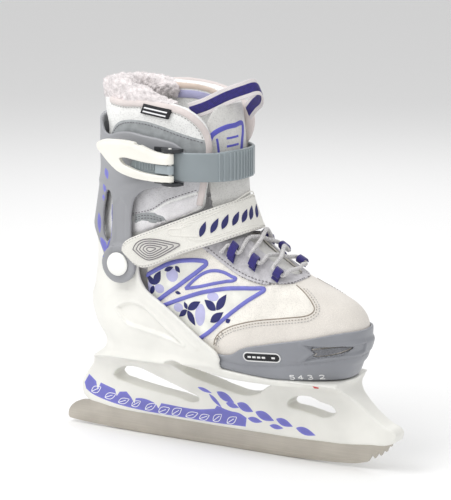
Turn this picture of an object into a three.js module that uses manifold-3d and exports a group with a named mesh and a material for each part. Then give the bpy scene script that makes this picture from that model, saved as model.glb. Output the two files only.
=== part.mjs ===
// Adjustable ice skate for a child's right foot. Millimetres.
// +X points to the toe, +Y to the medial (inner) side, +Z up.
// The origin is the middle of the blade's running edge, on the ice.
import * as THREE from 'three';
import { mergeVertices } from 'three/addons/utils/BufferGeometryUtils.js';
import Module from 'manifold-3d';

const wasm = await Module();
wasm.setup();

// ---- driving dimensions -------------------------------------------------
const RING_HALF = 12;          // stations along one side of a boot section
const BLADE_THICK = 3.4;
const SLOT_WIDTH = 4.0;        // slot in the holder that takes the blade
const SLOT_TOP = 26.6;
const VAMP_THICK = 2.2;
const TOE_SHELL = [0.4, 2.8];  // inner and outer offset from the upper
const HEEL_SHELL = [3.3, 5.7];
const CUFF = [7.0, 9.6];
const LINER = [-10.4, -5.2];
const COLLAR = [-5, 3.8];
const PIVOT_X = -69;
const PIVOT_Z = 145;
const BOSS_R = 14;
const RIVET_R = 3.4;
const SHELL_BOSS_Y = [24, 37.0];
const CUFF_BOSS_Y = [37.4, 41.0];
const CAP_R = 9.7;
const HEEL_TOP = 79;           // top of the heel platform
const FRONT_TOP = 68.5;        // top of the sole under the toe shell
const STRAP_ANCHOR_X = -40;    // hinge of the cuff strap, medial side
const STRAP_ANCHOR_Y = 46.5;
const STRAP_Z = [214, 236];
const STRAP_THICK = 2.4;
const LEVER_PIN_X = -17;
const LEVER_PIN_Y = -48.5;
const INSTEP_TILT = 0.388;     // lean of the instep strap's width, in radians
const INSTEP_LEVEL = 163;    // the strap's place along its own width
const INSTEP_WIDTH = 27;
const LACE_D = 3.0;

// Sections of the boot's fabric upper: height, rear x, front x, half width.
const FORM = [
  [60, -88, 104, 32.0], [72, -93, 110.5, 36.0], [80, -96.5, 113.5, 38.5],
  [90, -103, 118, 40.5], [100, -107, 120.3, 40.5], [112, -108.5, 119.5, 39.5],
  [122, -105.5, 112, 37.5], [130, -104, 97, 36.0], [138, -102.5, 79, 34.8],
  [148, -101.5, 60, 33.2], [160, -101.5, 41, 31.6], [172, -99, 27, 30.6],
  [186, -96.5, 22, 30.0], [200, -94, 20, 30.0], [216, -92, 18, 30.5],
  [232, -92, 16, 31.0], [250, -91.5, 15, 31.0], [268, -92.5, 13, 30.8],
  [292, -94, 9, 30.0],
];

// ---- small tools --------------------------------------------------------
const smooth = (t) => {
  const c = Math.min(1, Math.max(0, t));
  return c * c * (3 - 2 * c);
};

// Catmull-Rom value of one FORM column at height z.
function formValue(z, column) {
  const last = FORM.length - 1;
  let i = 0;
  while (i < last - 1 && z > FORM[i + 1][0]) {
    i += 1;
  }
  const p = [Math.max(i - 1, 0), i, i + 1, Math.min(i + 2, last)].map((k) => FORM[k]);
  const t = Math.min(1, Math.max(0, (z - p[1][0]) / (p[2][0] - p[1][0])));
  const span = p[2][0] - p[1][0];
  const slopeA = ((p[2][column] - p[0][column]) / Math.max(p[2][0] - p[0][0], 1)) * span;
  const slopeB = ((p[3][column] - p[1][column]) / Math.max(p[3][0] - p[1][0], 1)) * span;
  const t2 = t * t;
  const t3 = t2 * t;
  return (2 * t3 - 3 * t2 + 1) * p[1][column] + (t3 - 2 * t2 + t) * slopeA
    + (3 * t2 - 2 * t3) * p[2][column] + (t3 - t2) * slopeB;
}

// Half width of a section at fraction u of its length: a narrow heel and a
// full ball near the sole, an even oval at the ankle.
function widthShape(u, z) {
  const oval = Math.pow(Math.max(0, 1 - Math.pow(Math.abs(2 * u - 1), 2.5)), 0.4);
  const foot = 1 - smooth((z - 105) / 50);
  return oval * (1 - 0.13 * foot * (1 - smooth((u - 0.25) / 0.4)));
}

// The toes lean to the medial side.
function centreShift(u, z) {
  return 5 * smooth((u - 0.5) / 0.5) * (1 - smooth((z - 110) / 40));
}

function ring(z, offset) {
  const rear = formValue(z, 1) - offset;
  const front = formValue(z, 2) + offset;
  const half = formValue(z, 3) + offset;
  const points = [];
  for (let k = 0; k < 2 * RING_HALF; k += 1) {
    const angle = (Math.PI * k) / RING_HALF;
    const u = (1 - Math.cos(angle)) / 2;
    const side = k <= RING_HALF ? -1 : 1;
    const y = side * half * widthShape(u, z) + centreShift(u, z);
    points.push([rear + (front - rear) * u, y, z]);
  }
  return points;
}

// Half width of the upper at x and height z, on the side given by sign.
function sideY(x, z, offset, sign) {
  const rear = formValue(z, 1) - offset;
  const front = formValue(z, 2) + offset;
  const u = (x - rear) / (front - rear);
  return sign * (formValue(z, 3) + offset) * widthShape(u, z) + centreShift(u, z);
}

// Height of the upper's top surface over the point x, y.
function topZ(x, y) {
  for (let z = 172; z > 70; z -= 0.25) {
    const rear = formValue(z, 1);
    const front = formValue(z, 2);
    if (x > rear && x < front) {
      const sign = y < 0 ? -1 : 1;
      if (Math.abs(sideY(x, z, 0, sign)) >= Math.abs(y)) {
        return z;
      }
    }
  }
  return 70;
}

// Closed skin through equal rings of points, capped at both ends.
function loft(rings) {
  const count = rings[0].length;
  const position = [];
  const index = [];
  for (const points of rings) {
    for (const point of points) {
      position.push(...point);
    }
  }
  for (let r = 0; r < rings.length - 1; r += 1) {
    for (let k = 0; k < count; k += 1) {
      const a = r * count + k;
      const b = r * count + ((k + 1) % count);
      index.push(a, b, a + count, b, b + count, a + count);
    }
  }
  for (const [start, flip] of [[0, true], [(rings.length - 1) * count, false]]) {
    const centre = new THREE.Vector3();
    for (let k = 0; k < count; k += 1) {
      centre.add(new THREE.Vector3().fromArray(position, 3 * (start + k)));
    }
    centre.divideScalar(count);
    const middle = position.length / 3;
    position.push(centre.x, centre.y, centre.z);
    for (let k = 0; k < count; k += 1) {
      const a = start + k;
      const b = start + ((k + 1) % count);
      index.push(...(flip ? [middle, b, a] : [middle, a, b]));
    }
  }
  const geometry = new THREE.BufferGeometry();
  geometry.setAttribute('position', new THREE.Float32BufferAttribute(position, 3));
  geometry.setIndex(index);
  return geometry;
}

function solid(geometry) {
  const copy = geometry.clone();
  for (const name of Object.keys(copy.attributes)) {
    if (name !== 'position') {
      copy.deleteAttribute(name);
    }
  }
  const merged = mergeVertices(copy, 1e-4);
  const vertProperties = new Float32Array(merged.attributes.position.array);
  const triVerts = new Uint32Array(merged.index.array);
  return new wasm.Manifold(new wasm.Mesh({ numProp: 3, vertProperties, triVerts }));
}

function toGeometry(body) {
  const mesh = body.getMesh();
  const geometry = new THREE.BufferGeometry();
  geometry.setAttribute('position', new THREE.BufferAttribute(mesh.vertProperties, 3));
  geometry.setIndex(new THREE.BufferAttribute(mesh.triVerts, 1));
  return geometry;
}

// Heights of the sections, shared by every layer so that nested layers stay apart.
const LEVELS = [
  60, 66, 72, 80, 88, 96, 104, 112, 121, 130, 139, 148, 158, 168, 178, 192, 210, 230, 246,
  256, 266, 276, 284, 292,
];

// Solid of the boot form at one offset between two heights.
function formSolid(offset, low, high) {
  const between = LEVELS.filter((z) => z > low + 1 && z < high - 1);
  return solid(loft([low, ...between, high].map((z) => ring(z, offset))));
}

function skin(offsets, low, high) {
  const outer = formSolid(offsets[1], low, high);
  return outer.subtract(formSolid(offsets[0], low - 2, high + 2));
}

function shapeOf(points) {
  return new THREE.Shape(points.map(([a, b]) => new THREE.Vector2(a, b)));
}

// Side-view outline (x, z) given thickness from y = low to y = high.
function sidePrism(points, low, high, holes = []) {
  const shape = shapeOf(points);
  for (const hole of holes) {
    shape.holes.push(new THREE.Path(hole.map(([a, b]) => new THREE.Vector2(a, b))));
  }
  const geometry = new THREE.ExtrudeGeometry(shape, { depth: high - low, bevelEnabled: false });
  geometry.rotateX(Math.PI / 2);
  geometry.translate(0, high, 0);
  return solid(geometry);
}

// Plan outline (x, y) given height from z = low to z = high.
function planPrism(points, low, high) {
  const geometry = new THREE.ExtrudeGeometry(shapeOf(points), {
    depth: high - low, bevelEnabled: false,
  });
  geometry.translate(0, 0, low);
  return solid(geometry);
}

function cylinderY(x, z, radius, low, high, sides = 28, radiusHigh = radius) {
  const geometry = new THREE.CylinderGeometry(radiusHigh, radius, high - low, sides);
  geometry.translate(0, (low + high) / 2, 0);
  geometry.translate(x, 0, z);
  return solid(geometry);
}

function cylinderZ(x, y, radius, low, high, sides = 20) {
  const geometry = new THREE.CylinderGeometry(radius, radius, high - low, sides);
  geometry.rotateX(Math.PI / 2);
  geometry.translate(x, y, (low + high) / 2);
  return solid(geometry);
}

function box(low, high) {
  const size = high.map((value, i) => value - low[i]);
  const geometry = new THREE.BoxGeometry(...size);
  geometry.translate(...low.map((value, i) => value + size[i] / 2));
  return solid(geometry);
}

// Smooth list of points through the given ones.
function smoothPath(points, count) {
  const curve = new THREE.CatmullRomCurve3(
    points.map((point) => new THREE.Vector3(...point)), false, 'centripetal');
  return curve.getSpacedPoints(count).map((point) => point.toArray());
}

// Flat band along a path: width along one direction, thickness across it.
function band(path, width, thickness, widthAxis) {
  const axis = new THREE.Vector3(...widthAxis).normalize();
  const rings = path.map((point, i) => {
    const before = new THREE.Vector3(...path[Math.max(i - 1, 0)]);
    const after = new THREE.Vector3(...path[Math.min(i + 1, path.length - 1)]);
    const along = after.sub(before).normalize();
    const across = new THREE.Vector3().crossVectors(along, axis).normalize();
    const centre = new THREE.Vector3(...point);
    return [[-1, -1], [1, -1], [1, 1], [-1, 1]].map(([a, b]) => centre.clone()
      .addScaledVector(axis, (a * width) / 2)
      .addScaledVector(across, (b * thickness) / 2).toArray());
  });
  const body = solid(loft(rings));
  return body.volume() > 0 ? body : solid(loft(rings.reverse()));
}

const root = new THREE.Group();

function add(name, body, colour, roughness, metalness = 0) {
  const geometry = body.isBufferGeometry ? body : toGeometry(body);
  const material = new THREE.MeshStandardMaterial({ color: colour, roughness, metalness });
  const mesh = new THREE.Mesh(geometry, material);
  mesh.name = name;
  root.add(mesh);
}

const WHITE = 0xe4e2da;
const GREY = 0x96979a;
const DARK = 0x6f7176;
const STEEL = 0xbdb5a8;

// ---- blade --------------------------------------------------------------
const bladeOutline = [
  [-142.8, 2.6], [-128.9, 1.5], [-108.6, 0.8], [-88.0, 0.2], [-60, 0], [62, 0],
  [86.4, 0.9], [104.4, 2.0], [118.5, 3.6], [127.5, 6.2], [131.0, 12.0],
  [133.2, 9.4], [136.4, 14.4], [138.2, 12.2], [141.0, 17.4], [142.6, 15.8],
  [144.9, 21.2], [146.6, 20.6], [147.0, 24.0], [141.0, 26.0], [-117.0, 26.0],
  [-121.9, 20.8], [-130.8, 19.2], [-137.7, 16.0], [-143.7, 8.6], [-144.2, 5.0],
];
add('blade', sidePrism(bladeOutline, -BLADE_THICK / 2, BLADE_THICK / 2), STEEL, 0.35, 1);

// ---- holder, sole and heel shell: one white moulding ----------------------
const holderOutline = [
  [-121.0, 22.0], [-112.4, 20.4], [-102.4, 18.6], [-92.3, 17.6], [-54.8, 17.0],
  [-10.6, 16.2], [39.6, 16.4], [64.1, 16.3], [88.3, 17.2], [112.1, 18.2],
  [129.6, 20.5], [146.5, 22.8], [152.2, 26.0], [153.6, 31.0], [151.0, 34.2],
  [144.5, 35.8], [135.4, 42.6], [122.8, 53.0], [112.6, 63.2], [110.4, 72.0],
  [-99.0, 79.0], [-101.8, 72.5], [-107.5, 63.5], [-117.4, 48.7], [-122.6, 42.9],
  [-126.6, 35.9], [-126.0, 27.5],
];
const rearWindow = [
  [-95.4, 46.7], [-93.0, 50.2], [-86.9, 54.1], [-78.5, 56.3], [-68.9, 55.9],
  [-59.5, 52.5], [-47.6, 48.3], [-35.9, 44.7], [-24.3, 40.6], [-17.3, 37.9],
  [-16.4, 35.4], [-19.7, 34.0], [-35.9, 35.9], [-59.6, 38.4], [-83.4, 42.0],
  [-93.1, 44.4],
];
const middleWindow = [
  [-31.8, 66.5], [-29.6, 60.5], [-21.9, 55.3], [-7.0, 51.6], [10.2, 47.8],
  [21.5, 45.9], [29.4, 46.3], [36.8, 48.9], [43.0, 53.6], [52.0, 60.0],
  [55.0, 63.4], [41.0, 64.4], [27.2, 65.4], [13.8, 67.1], [1.3, 69.1],
  [-10.1, 71.2], [-21.6, 73.4], [-29.0, 72.0],
];
const frontWindow = [
  [61.0, 43.8], [65.8, 48.9], [73.1, 51.8], [81.5, 52.4], [91.0, 49.1],
  [101.7, 45.7], [103.5, 43.2], [100.6, 40.0], [93.5, 37.4], [84.0, 38.8],
  [73.2, 40.6], [62.3, 42.4],
];
const holderSide = sidePrism(holderOutline, -44, 44, [rearWindow, middleWindow, frontWindow]);
// Cross-section of the holder, thin at the blade and flared under the sole.
const flare = [
  [5.4, 15], [7.4, 24], [9.2, 36], [10.2, 46], [12.6, 54], [18.0, 60], [27.0, 65.5],
  [38.0, 69.5], [43.0, 80],
];
const flareOutline = [...flare, ...flare.map(([y, z]) => [-y, z]).reverse()];
function flareSolid() {
  const geometry = new THREE.ExtrudeGeometry(shapeOf(flareOutline), {
    depth: 300, bevelEnabled: false,
  });
  geometry.rotateX(Math.PI / 2);
  geometry.rotateZ(Math.PI / 2);
  geometry.translate(-135, 0, 0);
  return solid(geometry);
}
// Top line of the sole: heel platform, ramp, and the flat under the toe shell.
const soleTop = [[-12, HEEL_TOP], [23, 73], [61, FRONT_TOP], [116, FRONT_TOP]];
const soleRegion = [[-130, 10], [160, 10], [160, 40], [116, 66], ...[...soleTop].reverse(),
  [-130, HEEL_TOP]];
const holder = holderSide.intersect(flareSolid())
  .intersect(sidePrism(soleRegion, -60, 60))
  .intersect(formSolid(HEEL_SHELL[1], 58, 80)
    .add(box([-140, -60, 0], [160, 60, 59])));

const heelEdge = [
  [-125, 66], [-12, 70], [16, 68], [21.8, 72.3], [21.2, 79.2], [18.4, 85.8], [4.0, 95.0],
  [-13.0, 105.9], [-27.8, 114.4], [-39.1, 120.3], [-46.5, 124.8], [-51.5, 130.7],
  [-54.0, 138.0], [-55.0, 150.0], [-62.0, 157.5], [-76.0, 157.5], [-90.0, 156.0],
  [-125, 156.0],
];
const heelWall = skin(HEEL_SHELL, 66, 160).intersect(sidePrism(heelEdge, -60, 60));
const soleSides = [
  [-125, 70.5], [-101, 70.5], [-31, 73.5], [-21.6, 73.4], [-10.1, 71.2], [1.3, 69.1],
  [13.8, 67.1], [27.2, 65.4], [54.2, 63.9], [110, 62.5], [116, 66], ...[...soleTop].reverse(),
  [-125, HEEL_TOP],
];
const solePlate = formSolid(HEEL_SHELL[1], 60, 82).intersect(sidePrism(soleSides, -60, 60));
// Tab on the medial wall that carries the instep strap.
const tabOutline = [
  [-44, 104], [-8, 90], [-8, 108], [-17, 140], [-21, 166], [-25, 171], [-34, 171],
  [-38, 165], [-41, 130],
];
const medialTab = skin(HEEL_SHELL, 88, 180).intersect(sidePrism(tabOutline, 5, 60));
let shellFrame = holder.add(solePlate).add(heelWall).add(medialTab);
for (const side of [-1, 1]) {
  const [near, far] = SHELL_BOSS_Y;
  const ends = side < 0 ? [-far, -near] : [near, far];
  const well = side < 0 ? [-30.9, -20] : [20, 30.9];
  shellFrame = shellFrame.add(cylinderY(PIVOT_X, PIVOT_Z, BOSS_R - 1, ends[0], ends[1])
    .subtract(formSolid(HEEL_SHELL[0] + 0.2, 120, 170)))
    .subtract(cylinderY(PIVOT_X, PIVOT_Z, 7.6, ...well));
}
shellFrame = shellFrame
  .subtract(cylinderY(PIVOT_X, PIVOT_Z, RIVET_R + 0.3, -60, 60))
  .subtract(box([-136, -SLOT_WIDTH / 2, 5], [150, SLOT_WIDTH / 2, SLOT_TOP]));
// Rivet holes for the instep strap's bracket.
const TAB_RIVETS = [[-30.5, 154.5], [-27.0, 163.5]];
for (const [x, z] of TAB_RIVETS) {
  shellFrame = shellFrame.subtract(cylinderY(x, z, 1.9, 20, 60, 12))
    .subtract(cylinderY(x, z, 3.1, 20, 35.8, 12));
}
add('shell_frame', shellFrame, WHITE, 0.45);

// ---- footbed, inner boot and collar ---------------------------------------
const footbedSide = [
  [-100, HEEL_TOP + 0.4], [-11, HEEL_TOP + 0.4], [24, 74.8], [104, 74.8],
  [104, 77.6], [62, 78.0], [24, 78.6], [-11, 83.2], [-100, 84.2],
];
add('footbed', formSolid(-10.8, 66, 90).intersect(sidePrism(footbedSide, -60, 60)),
  0xd8d4d0, 0.9);

const linerSide = [
  [-115, HEEL_TOP + 0.4], [-36, HEEL_TOP + 0.4], [-24, 100], [-24, 150], [-25, 160],
  [-30, 160], [-52, 153], [-78, 150], [-115, 150],
];
const liner = skin(LINER, 76, 172).intersect(sidePrism(linerSide, -60, 60));
add('liner', liner, 0xe9e6e4, 0.95);

const collarSide = [
  [-120, 162], [-74, 162], [-60, 166], [-30, 181.5], [-10, 193], [-3, 206], [5, 220], [7, 238],
  [5.5, 248], [0, 258], [-9, 266], [-22, 271.5], [-46, 276], [-64, 283], [-80, 287.5],
  [-120, 287.5],
];
const collarTop = (z) => 5.5 * smooth((z - 246) / 16) * (1 - smooth((z - 276) / 14));
const collarRings = (extra, shift) => {
  const heights = LEVELS.filter((z) => z >= 148);
  return solid(loft(heights.map((z) => ring(z, extra + shift * collarTop(z)))));
};
const collar = collarRings(COLLAR[1], 0.8).subtract(collarRings(COLLAR[0], -0.3))
  .intersect(sidePrism(collarSide, -60, 60))
  .subtract(box([-14, -25, 140], [60, 25, 300]));
add('collar', collar, 0xeee9e6, 0.95);

// ---- tongue and its pull loop ----------------------------------------------
const tongueSide = [
  [22, 183], [40, 176], [40, 272], [6, 270], [2, 262], [3, 205], [8, 187],
];

const loopPath = smoothPath([
  [-16, -19.5, 265.5], [-4, -17, 270.5], [9, -10, 277], [18.5, -3, 281.5], [23, 3, 280],
  [21.5, 9, 272.5], [16.5, 12.5, 265.5], [13.6, 14, 261],
], 22);
const LOOP_LEAN = [-0.42, 0, 0.9];
add('pull_loop', band(loopPath, 13, 1.2, LOOP_LEAN), 0x2c2b66, 0.9);

// The loop is let into the tongue's top edge.
const tongue = skin([-6.5, -0.6], 174, 274).intersect(sidePrism(tongueSide, -22, 22))
  .subtract(band(loopPath, 14, 2.2, LOOP_LEAN));
add('tongue', tongue, 0xc8c6c4, 0.9);

// ---- ankle pivots ------------------------------------------------------------
for (const [label, side] of [['lateral', -1], ['medial', 1]]) {
  const span = (near, far) => (side < 0 ? [-far, -near] : [near, far]);
  const shank = cylinderY(PIVOT_X, PIVOT_Z, RIVET_R, ...span(30.6, 41.4), 16);
  const innerHead = cylinderY(PIVOT_X, PIVOT_Z, 7.2, ...span(28.4, 30.7), 16);
  const rivet = shank.add(innerHead);
  add(`pivot_rivet_${label}`, rivet, STEEL, 0.35, 1);
  const dome = side < 0 ? [CAP_R - 1.4, CAP_R] : [CAP_R, CAP_R - 1.4];
  const cap = cylinderY(PIVOT_X, PIVOT_Z, dome[0], ...span(41.7, 43.6), 24, dome[1]);
  add(`pivot_cap_${label}`, cap, 0xf2f2ec, 0.3);
}

// ---- cuff ------------------------------------------------------------------
const cuffSide = [
  [-125, 163], [-107, 152], [-96, 140.5], [-84, 133.5], [-69, 131], [-58, 136],
  [-54.8, 146], [-55.5, 170], [-55, 178], [-53.5, 192], [-47.6, 199.3], [-38.7, 202],
  [-28, 205.5], [-16.5, 208.6], [-10, 212], [-9, 222], [-10, 236], [-17, 242], [-29.3, 244.3],
  [-44.5, 246.2], [-60, 248], [-72, 246.4], [-80, 244], [-88, 246], [-93, 251],
  [-99, 256], [-125, 256],
];
const cuffWindow = [
  [-86.5, 199], [-88.6, 192], [-90.0, 182], [-90.0, 170], [-87.5, 161], [-84.5, 159.5],
  [-81.5, 162], [-79.8, 172], [-80.0, 184], [-81.8, 198], [-84.0, 200.5],
];
let cuff = skin(CUFF, 126, 258);
cuff = solid(toGeometry(cuff).translate(-0.8, 0, 0))
  .intersect(sidePrism(cuffSide, -60, 60));
for (const side of [-1, 1]) {
  const [near, far] = CUFF_BOSS_Y;
  const ends = side < 0 ? [-far, -near] : [near, far];
  const seat = side < 0 ? [-far - 6, -near + 9] : [near - 9, far + 6];
  cuff = cuff.subtract(cylinderY(PIVOT_X, PIVOT_Z, BOSS_R + 0.4, ...seat))
    .add(cylinderY(PIVOT_X, PIVOT_Z, BOSS_R + 1.2, ends[0], ends[1]));
}
cuff = cuff.subtract(cylinderY(PIVOT_X, PIVOT_Z, RIVET_R + 0.35, -60, 60))
  .subtract(sidePrism(cuffWindow, -60, 60))
  .subtract(box([9, -60, 120], [80, 60, 270]));
// Holes for the buckle's and the strap bracket's rivets.
const BUCKLE_RIVETS = [[-29, 217], [-29, 233]];
const BRACKET_RIVETS = [[-52, 218], [-52, 232]];
for (const [x, z] of BUCKLE_RIVETS) {
  cuff = cuff.subtract(cylinderY(x, z, 1.9, -60, -20, 16));
}
for (const [x, z] of BRACKET_RIVETS) {
  cuff = cuff.subtract(cylinderY(x, z, 1.9, 20, 60, 16));
}
add('cuff_shell', cuff, GREY, 0.5);

// ---- buckle on the lateral side ----------------------------------------------
const EAR_Z = [[208.6, 212.6], [236.9, 240.9]];
const BASE_Y = [-42.1, -40.9];
const tailRadius = STRAP_ANCHOR_Y + 45.8;
// The plate stops short of the circle on which the strap's tail swings.
const tailPath = cylinderZ(STRAP_ANCHOR_X, STRAP_ANCHOR_Y, tailRadius + 9, 213.2, 236.5, 96)
  .subtract(cylinderZ(STRAP_ANCHOR_X, STRAP_ANCHOR_Y, tailRadius - 1.5, 205, 245, 96));
let buckleBase = box([-35, BASE_Y[0], 208.6], [-9.5, BASE_Y[1], 240.9]).subtract(tailPath);
for (const [low, high] of EAR_Z) {
  buckleBase = buckleBase
    .add(planPrism([[-30, -41.8], [-9.5, -41.8], [-11.5, -48.6], [-14, -51.6], [-20, -51.6],
      [-24, -48.6]], low, high));
}
buckleBase = buckleBase.subtract(cylinderZ(LEVER_PIN_X, LEVER_PIN_Y, 1.55, 200, 250));
for (const [x, z] of BUCKLE_RIVETS) {
  buckleBase = buckleBase.subtract(cylinderY(x, z, 1.9, -60, -20, 16));
}
add('buckle_base', buckleBase, 0x303236, 0.5);
add('buckle_pin', cylinderZ(LEVER_PIN_X, LEVER_PIN_Y, 1.25, 207.6, 241.9, 16), 0xe8e8e2, 0.4);
BUCKLE_RIVETS.forEach(([x, z], i) => {
  add(`buckle_rivet_${i + 1}`, cylinderY(x, z, 1.6, -42.0, -36.5, 10)
    .add(cylinderY(x, z, 3.0, -37.0, -35.6, 12)), STEEL, 0.35, 1);
});

const leverOutline = [
  [-14.4, 235.8], [-28, 236.2], [-38.3, 239.3], [-46, 242], [-55, 243.2], [-66, 243.3],
  [-75.8, 242.4], [-80.8, 239.6], [-80.4, 235.6], [-77.2, 232.2], [-71.2, 226], [-62.8, 219.4],
  [-50.9, 215.4], [-38.9, 213.8], [-28.3, 213.4], [-14.4, 213.7],
];
const leverSlot = [
  [0, 218.9], [-28, 218.9], [-41, 220.2], [-50, 222.5], [-58, 226], [-60.4, 229.2], [-57, 230],
  [-48.7, 229.3], [-38.5, 227.9], [-28.3, 227.2], [0, 227.2],
];
let lever = sidePrism(leverOutline, -51.4, -47.3)
  .subtract(box([LEVER_PIN_X - 1, -60, 200], [0, -40, 250]));
for (const [low, high] of [[213.6, 218.9], [227.2, 235.9]]) {
  lever = lever.add(cylinderZ(LEVER_PIN_X, LEVER_PIN_Y, 3.0, low, high));
}
lever = lever.subtract(sidePrism(leverSlot, -60, -40))
  .subtract(cylinderZ(LEVER_PIN_X, LEVER_PIN_Y, 1.6, 200, 250));
add('buckle_lever', lever, 0xf3f2e6, 0.35);

const pawl = cylinderZ(LEVER_PIN_X, LEVER_PIN_Y, 2.8, 219.9, 226.2)
  .add(planPrism([[-17, -46.3], [-17, -50.6], [-29.5, -49.6], [-31.0, -46.9], [-29.0, -46.5]],
    219.9, 226.2))
  .subtract(cylinderZ(LEVER_PIN_X, LEVER_PIN_Y, 1.6, 200, 250));
add('buckle_pawl', pawl, 0x2a2b2e, 0.45);

// ---- cuff strap --------------------------------------------------------------
// The tail follows the circle it swings on; the rest goes round the shin.
const tailPoints = [-54, -47, -40, -33, -26, -19].map((x) => [
  x, STRAP_ANCHOR_Y - Math.sqrt(tailRadius ** 2 - (x - STRAP_ANCHOR_X) ** 2)]);
const cuffStrapPlan = [
  ...tailPoints, [-10, -42.4], [0, -39.4], [10, -34], [18, -25], [22, -13], [22.6, 0],
  [19.8, 12.5], [13, 24.5], [5, 33], [-4, 38.6], [-14, 42.6], [-25, 45.2], [-35, 46.3],
];
const strapMiddle = (STRAP_Z[0] + STRAP_Z[1]) / 2;
const cuffStrapPath = smoothPath(cuffStrapPlan.map(([x, y]) => [x, y, strapMiddle]), 44);
let cuffStrap = band(cuffStrapPath, STRAP_Z[1] - STRAP_Z[0], STRAP_THICK, [0, 0, 1])
  .add(cylinderZ(STRAP_ANCHOR_X, STRAP_ANCHOR_Y, 3.0, STRAP_Z[0] + 3, STRAP_Z[1] - 3))
  .add(box([STRAP_ANCHOR_X, STRAP_ANCHOR_Y - 1.2, STRAP_Z[0] + 3],
    [STRAP_ANCHOR_X + 6, STRAP_ANCHOR_Y + 1.2, STRAP_Z[1] - 3]))
  .subtract(cylinderZ(STRAP_ANCHOR_X, STRAP_ANCHOR_Y, 1.55, 200, 250));
// Pointed tail end.
cuffStrap = cuffStrap.subtract(sidePrism([[-60, 238], [-60, 225], [-54.4, 225], [-46, 238]],
  -60, -30)).subtract(sidePrism([[-60, 212], [-60, 225], [-54.4, 225], [-46, 212]], -60, -30));
add('cuff_strap', cuffStrap, 0x8e979b, 0.5);

let bracket = box([-60, 41.4, 213.5], [-36.5, 43.0, 236.5]);
for (const [low, high] of [[213.5, 216.6], [233.4, 236.5]]) {
  bracket = bracket.add(planPrism([[-46, 42.5], [-36.5, 42.5], [-36.5, 48.5], [-38.5, 50],
    [-41.5, 50], [-44, 48]], low, high));
}
bracket = bracket.subtract(cylinderZ(STRAP_ANCHOR_X, STRAP_ANCHOR_Y, 1.55, 200, 250));
for (const [x, z] of BRACKET_RIVETS) {
  bracket = bracket.subtract(cylinderY(x, z, 1.9, 20, 60, 16));
}
add('strap_bracket', bracket, 0x303236, 0.5);
add('strap_pin', cylinderZ(STRAP_ANCHOR_X, STRAP_ANCHOR_Y, 1.25, 212.9, 237.1, 16), STEEL,
  0.3, 1);
BRACKET_RIVETS.forEach(([x, z], i) => {
  add(`bracket_rivet_${i + 1}`, cylinderY(x, z, 1.6, 36.0, 43.4, 10)
    .add(cylinderY(x, z, 3.0, 43.3, 44.6, 12))
    .add(cylinderY(x, z, 2.8, 35.2, 36.5, 12)), STEEL, 0.35, 1);
});

// ---- instep strap --------------------------------------------------------------
// Laid out in its own tilted plane: a along the strap, y across the boot.
const lean = new THREE.Vector3(-Math.sin(INSTEP_TILT), 0, Math.cos(INSTEP_TILT));
const ahead = new THREE.Vector3(Math.cos(INSTEP_TILT), 0, Math.sin(INSTEP_TILT));
function tilted(a, y, level = INSTEP_LEVEL) {
  const point = lean.clone().multiplyScalar(level).addScaledVector(ahead, a);
  return [point.x, y, point.z];
}
const INSTEP_PIN = [40, 47.5];
const instepPath = smoothPath([
  [2.5, -43.4], [12, -43.6], [22, -43.2], [34, -42], [48, -40], [62, -37.4], [76, -33],
  [85.5, -25.5], [92.5, -13.5], [95.2, 0], [92.6, 13.5], [82.5, 25], [71, 32.8], [59, 38.6],
  [50.5, 43.4], [46, 46.4],
].map(([a, y]) => tilted(a, y)), 36);
function alongLean(body) {
  return solid(toGeometry(body).rotateY(-INSTEP_TILT));
}
const [pinA, pinY] = INSTEP_PIN;
const instepLow = INSTEP_LEVEL - INSTEP_WIDTH / 2;
const instepHigh = INSTEP_LEVEL + INSTEP_WIDTH / 2;
const instepKnuckle = cylinderZ(pinA, pinY, 3.0, instepLow + 5, instepHigh - 5)
  .add(box([pinA, pinY - 1.4, instepLow + 5], [pinA + 8, pinY + 1.0, instepHigh - 5]))
  .subtract(cylinderZ(pinA, pinY, 1.55, 100, 250));
const instepStrap = band(instepPath, INSTEP_WIDTH, 2.0, lean.toArray())
  .add(alongLean(instepKnuckle));
add('instep_strap', instepStrap, 0xf1efe9, 0.6);

let instepBracket = box([pinA - 6, 38.9, instepLow + 1.4], [pinA + 4, 43.6, instepHigh - 1.4])
  .subtract(box([pinA - 7, 40.9, instepLow + 4.6], [pinA + 5, 60, instepHigh - 4.6]));
for (const [low, high] of [[instepLow + 1.4, instepLow + 4.6], [instepHigh - 4.6,
  instepHigh - 1.4]]) {
  instepBracket = instepBracket.add(planPrism([[pinA - 6, 42.5], [pinA + 4, 42.5],
    [pinA + 3.4, 49.5], [pinA + 1.5, 51], [pinA - 1.5, 51], [pinA - 3.4, 49.5]], low, high));
}
instepBracket = instepBracket.subtract(cylinderZ(pinA, pinY, 1.55, 100, 250));
instepBracket = alongLean(instepBracket);
for (const [x, z] of TAB_RIVETS) {
  instepBracket = instepBracket.subtract(cylinderY(x, z, 1.9, 20, 60, 16));
}
add('instep_bracket', instepBracket, 0x303236, 0.5);
add('instep_pin', alongLean(cylinderZ(pinA, pinY, 1.25, instepLow + 0.8, instepHigh - 0.8, 16)),
  STEEL, 0.3, 1);
TAB_RIVETS.forEach(([x, z], i) => {
  add(`instep_rivet_${i + 1}`, cylinderY(x, z, 1.6, 34.8, 41.4, 10)
    .add(cylinderY(x, z, 2.8, 41.3, 42.3, 12))
    .add(cylinderY(x, z, 2.6, 34.4, 35.4, 12)), STEEL, 0.35, 1);
});

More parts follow.
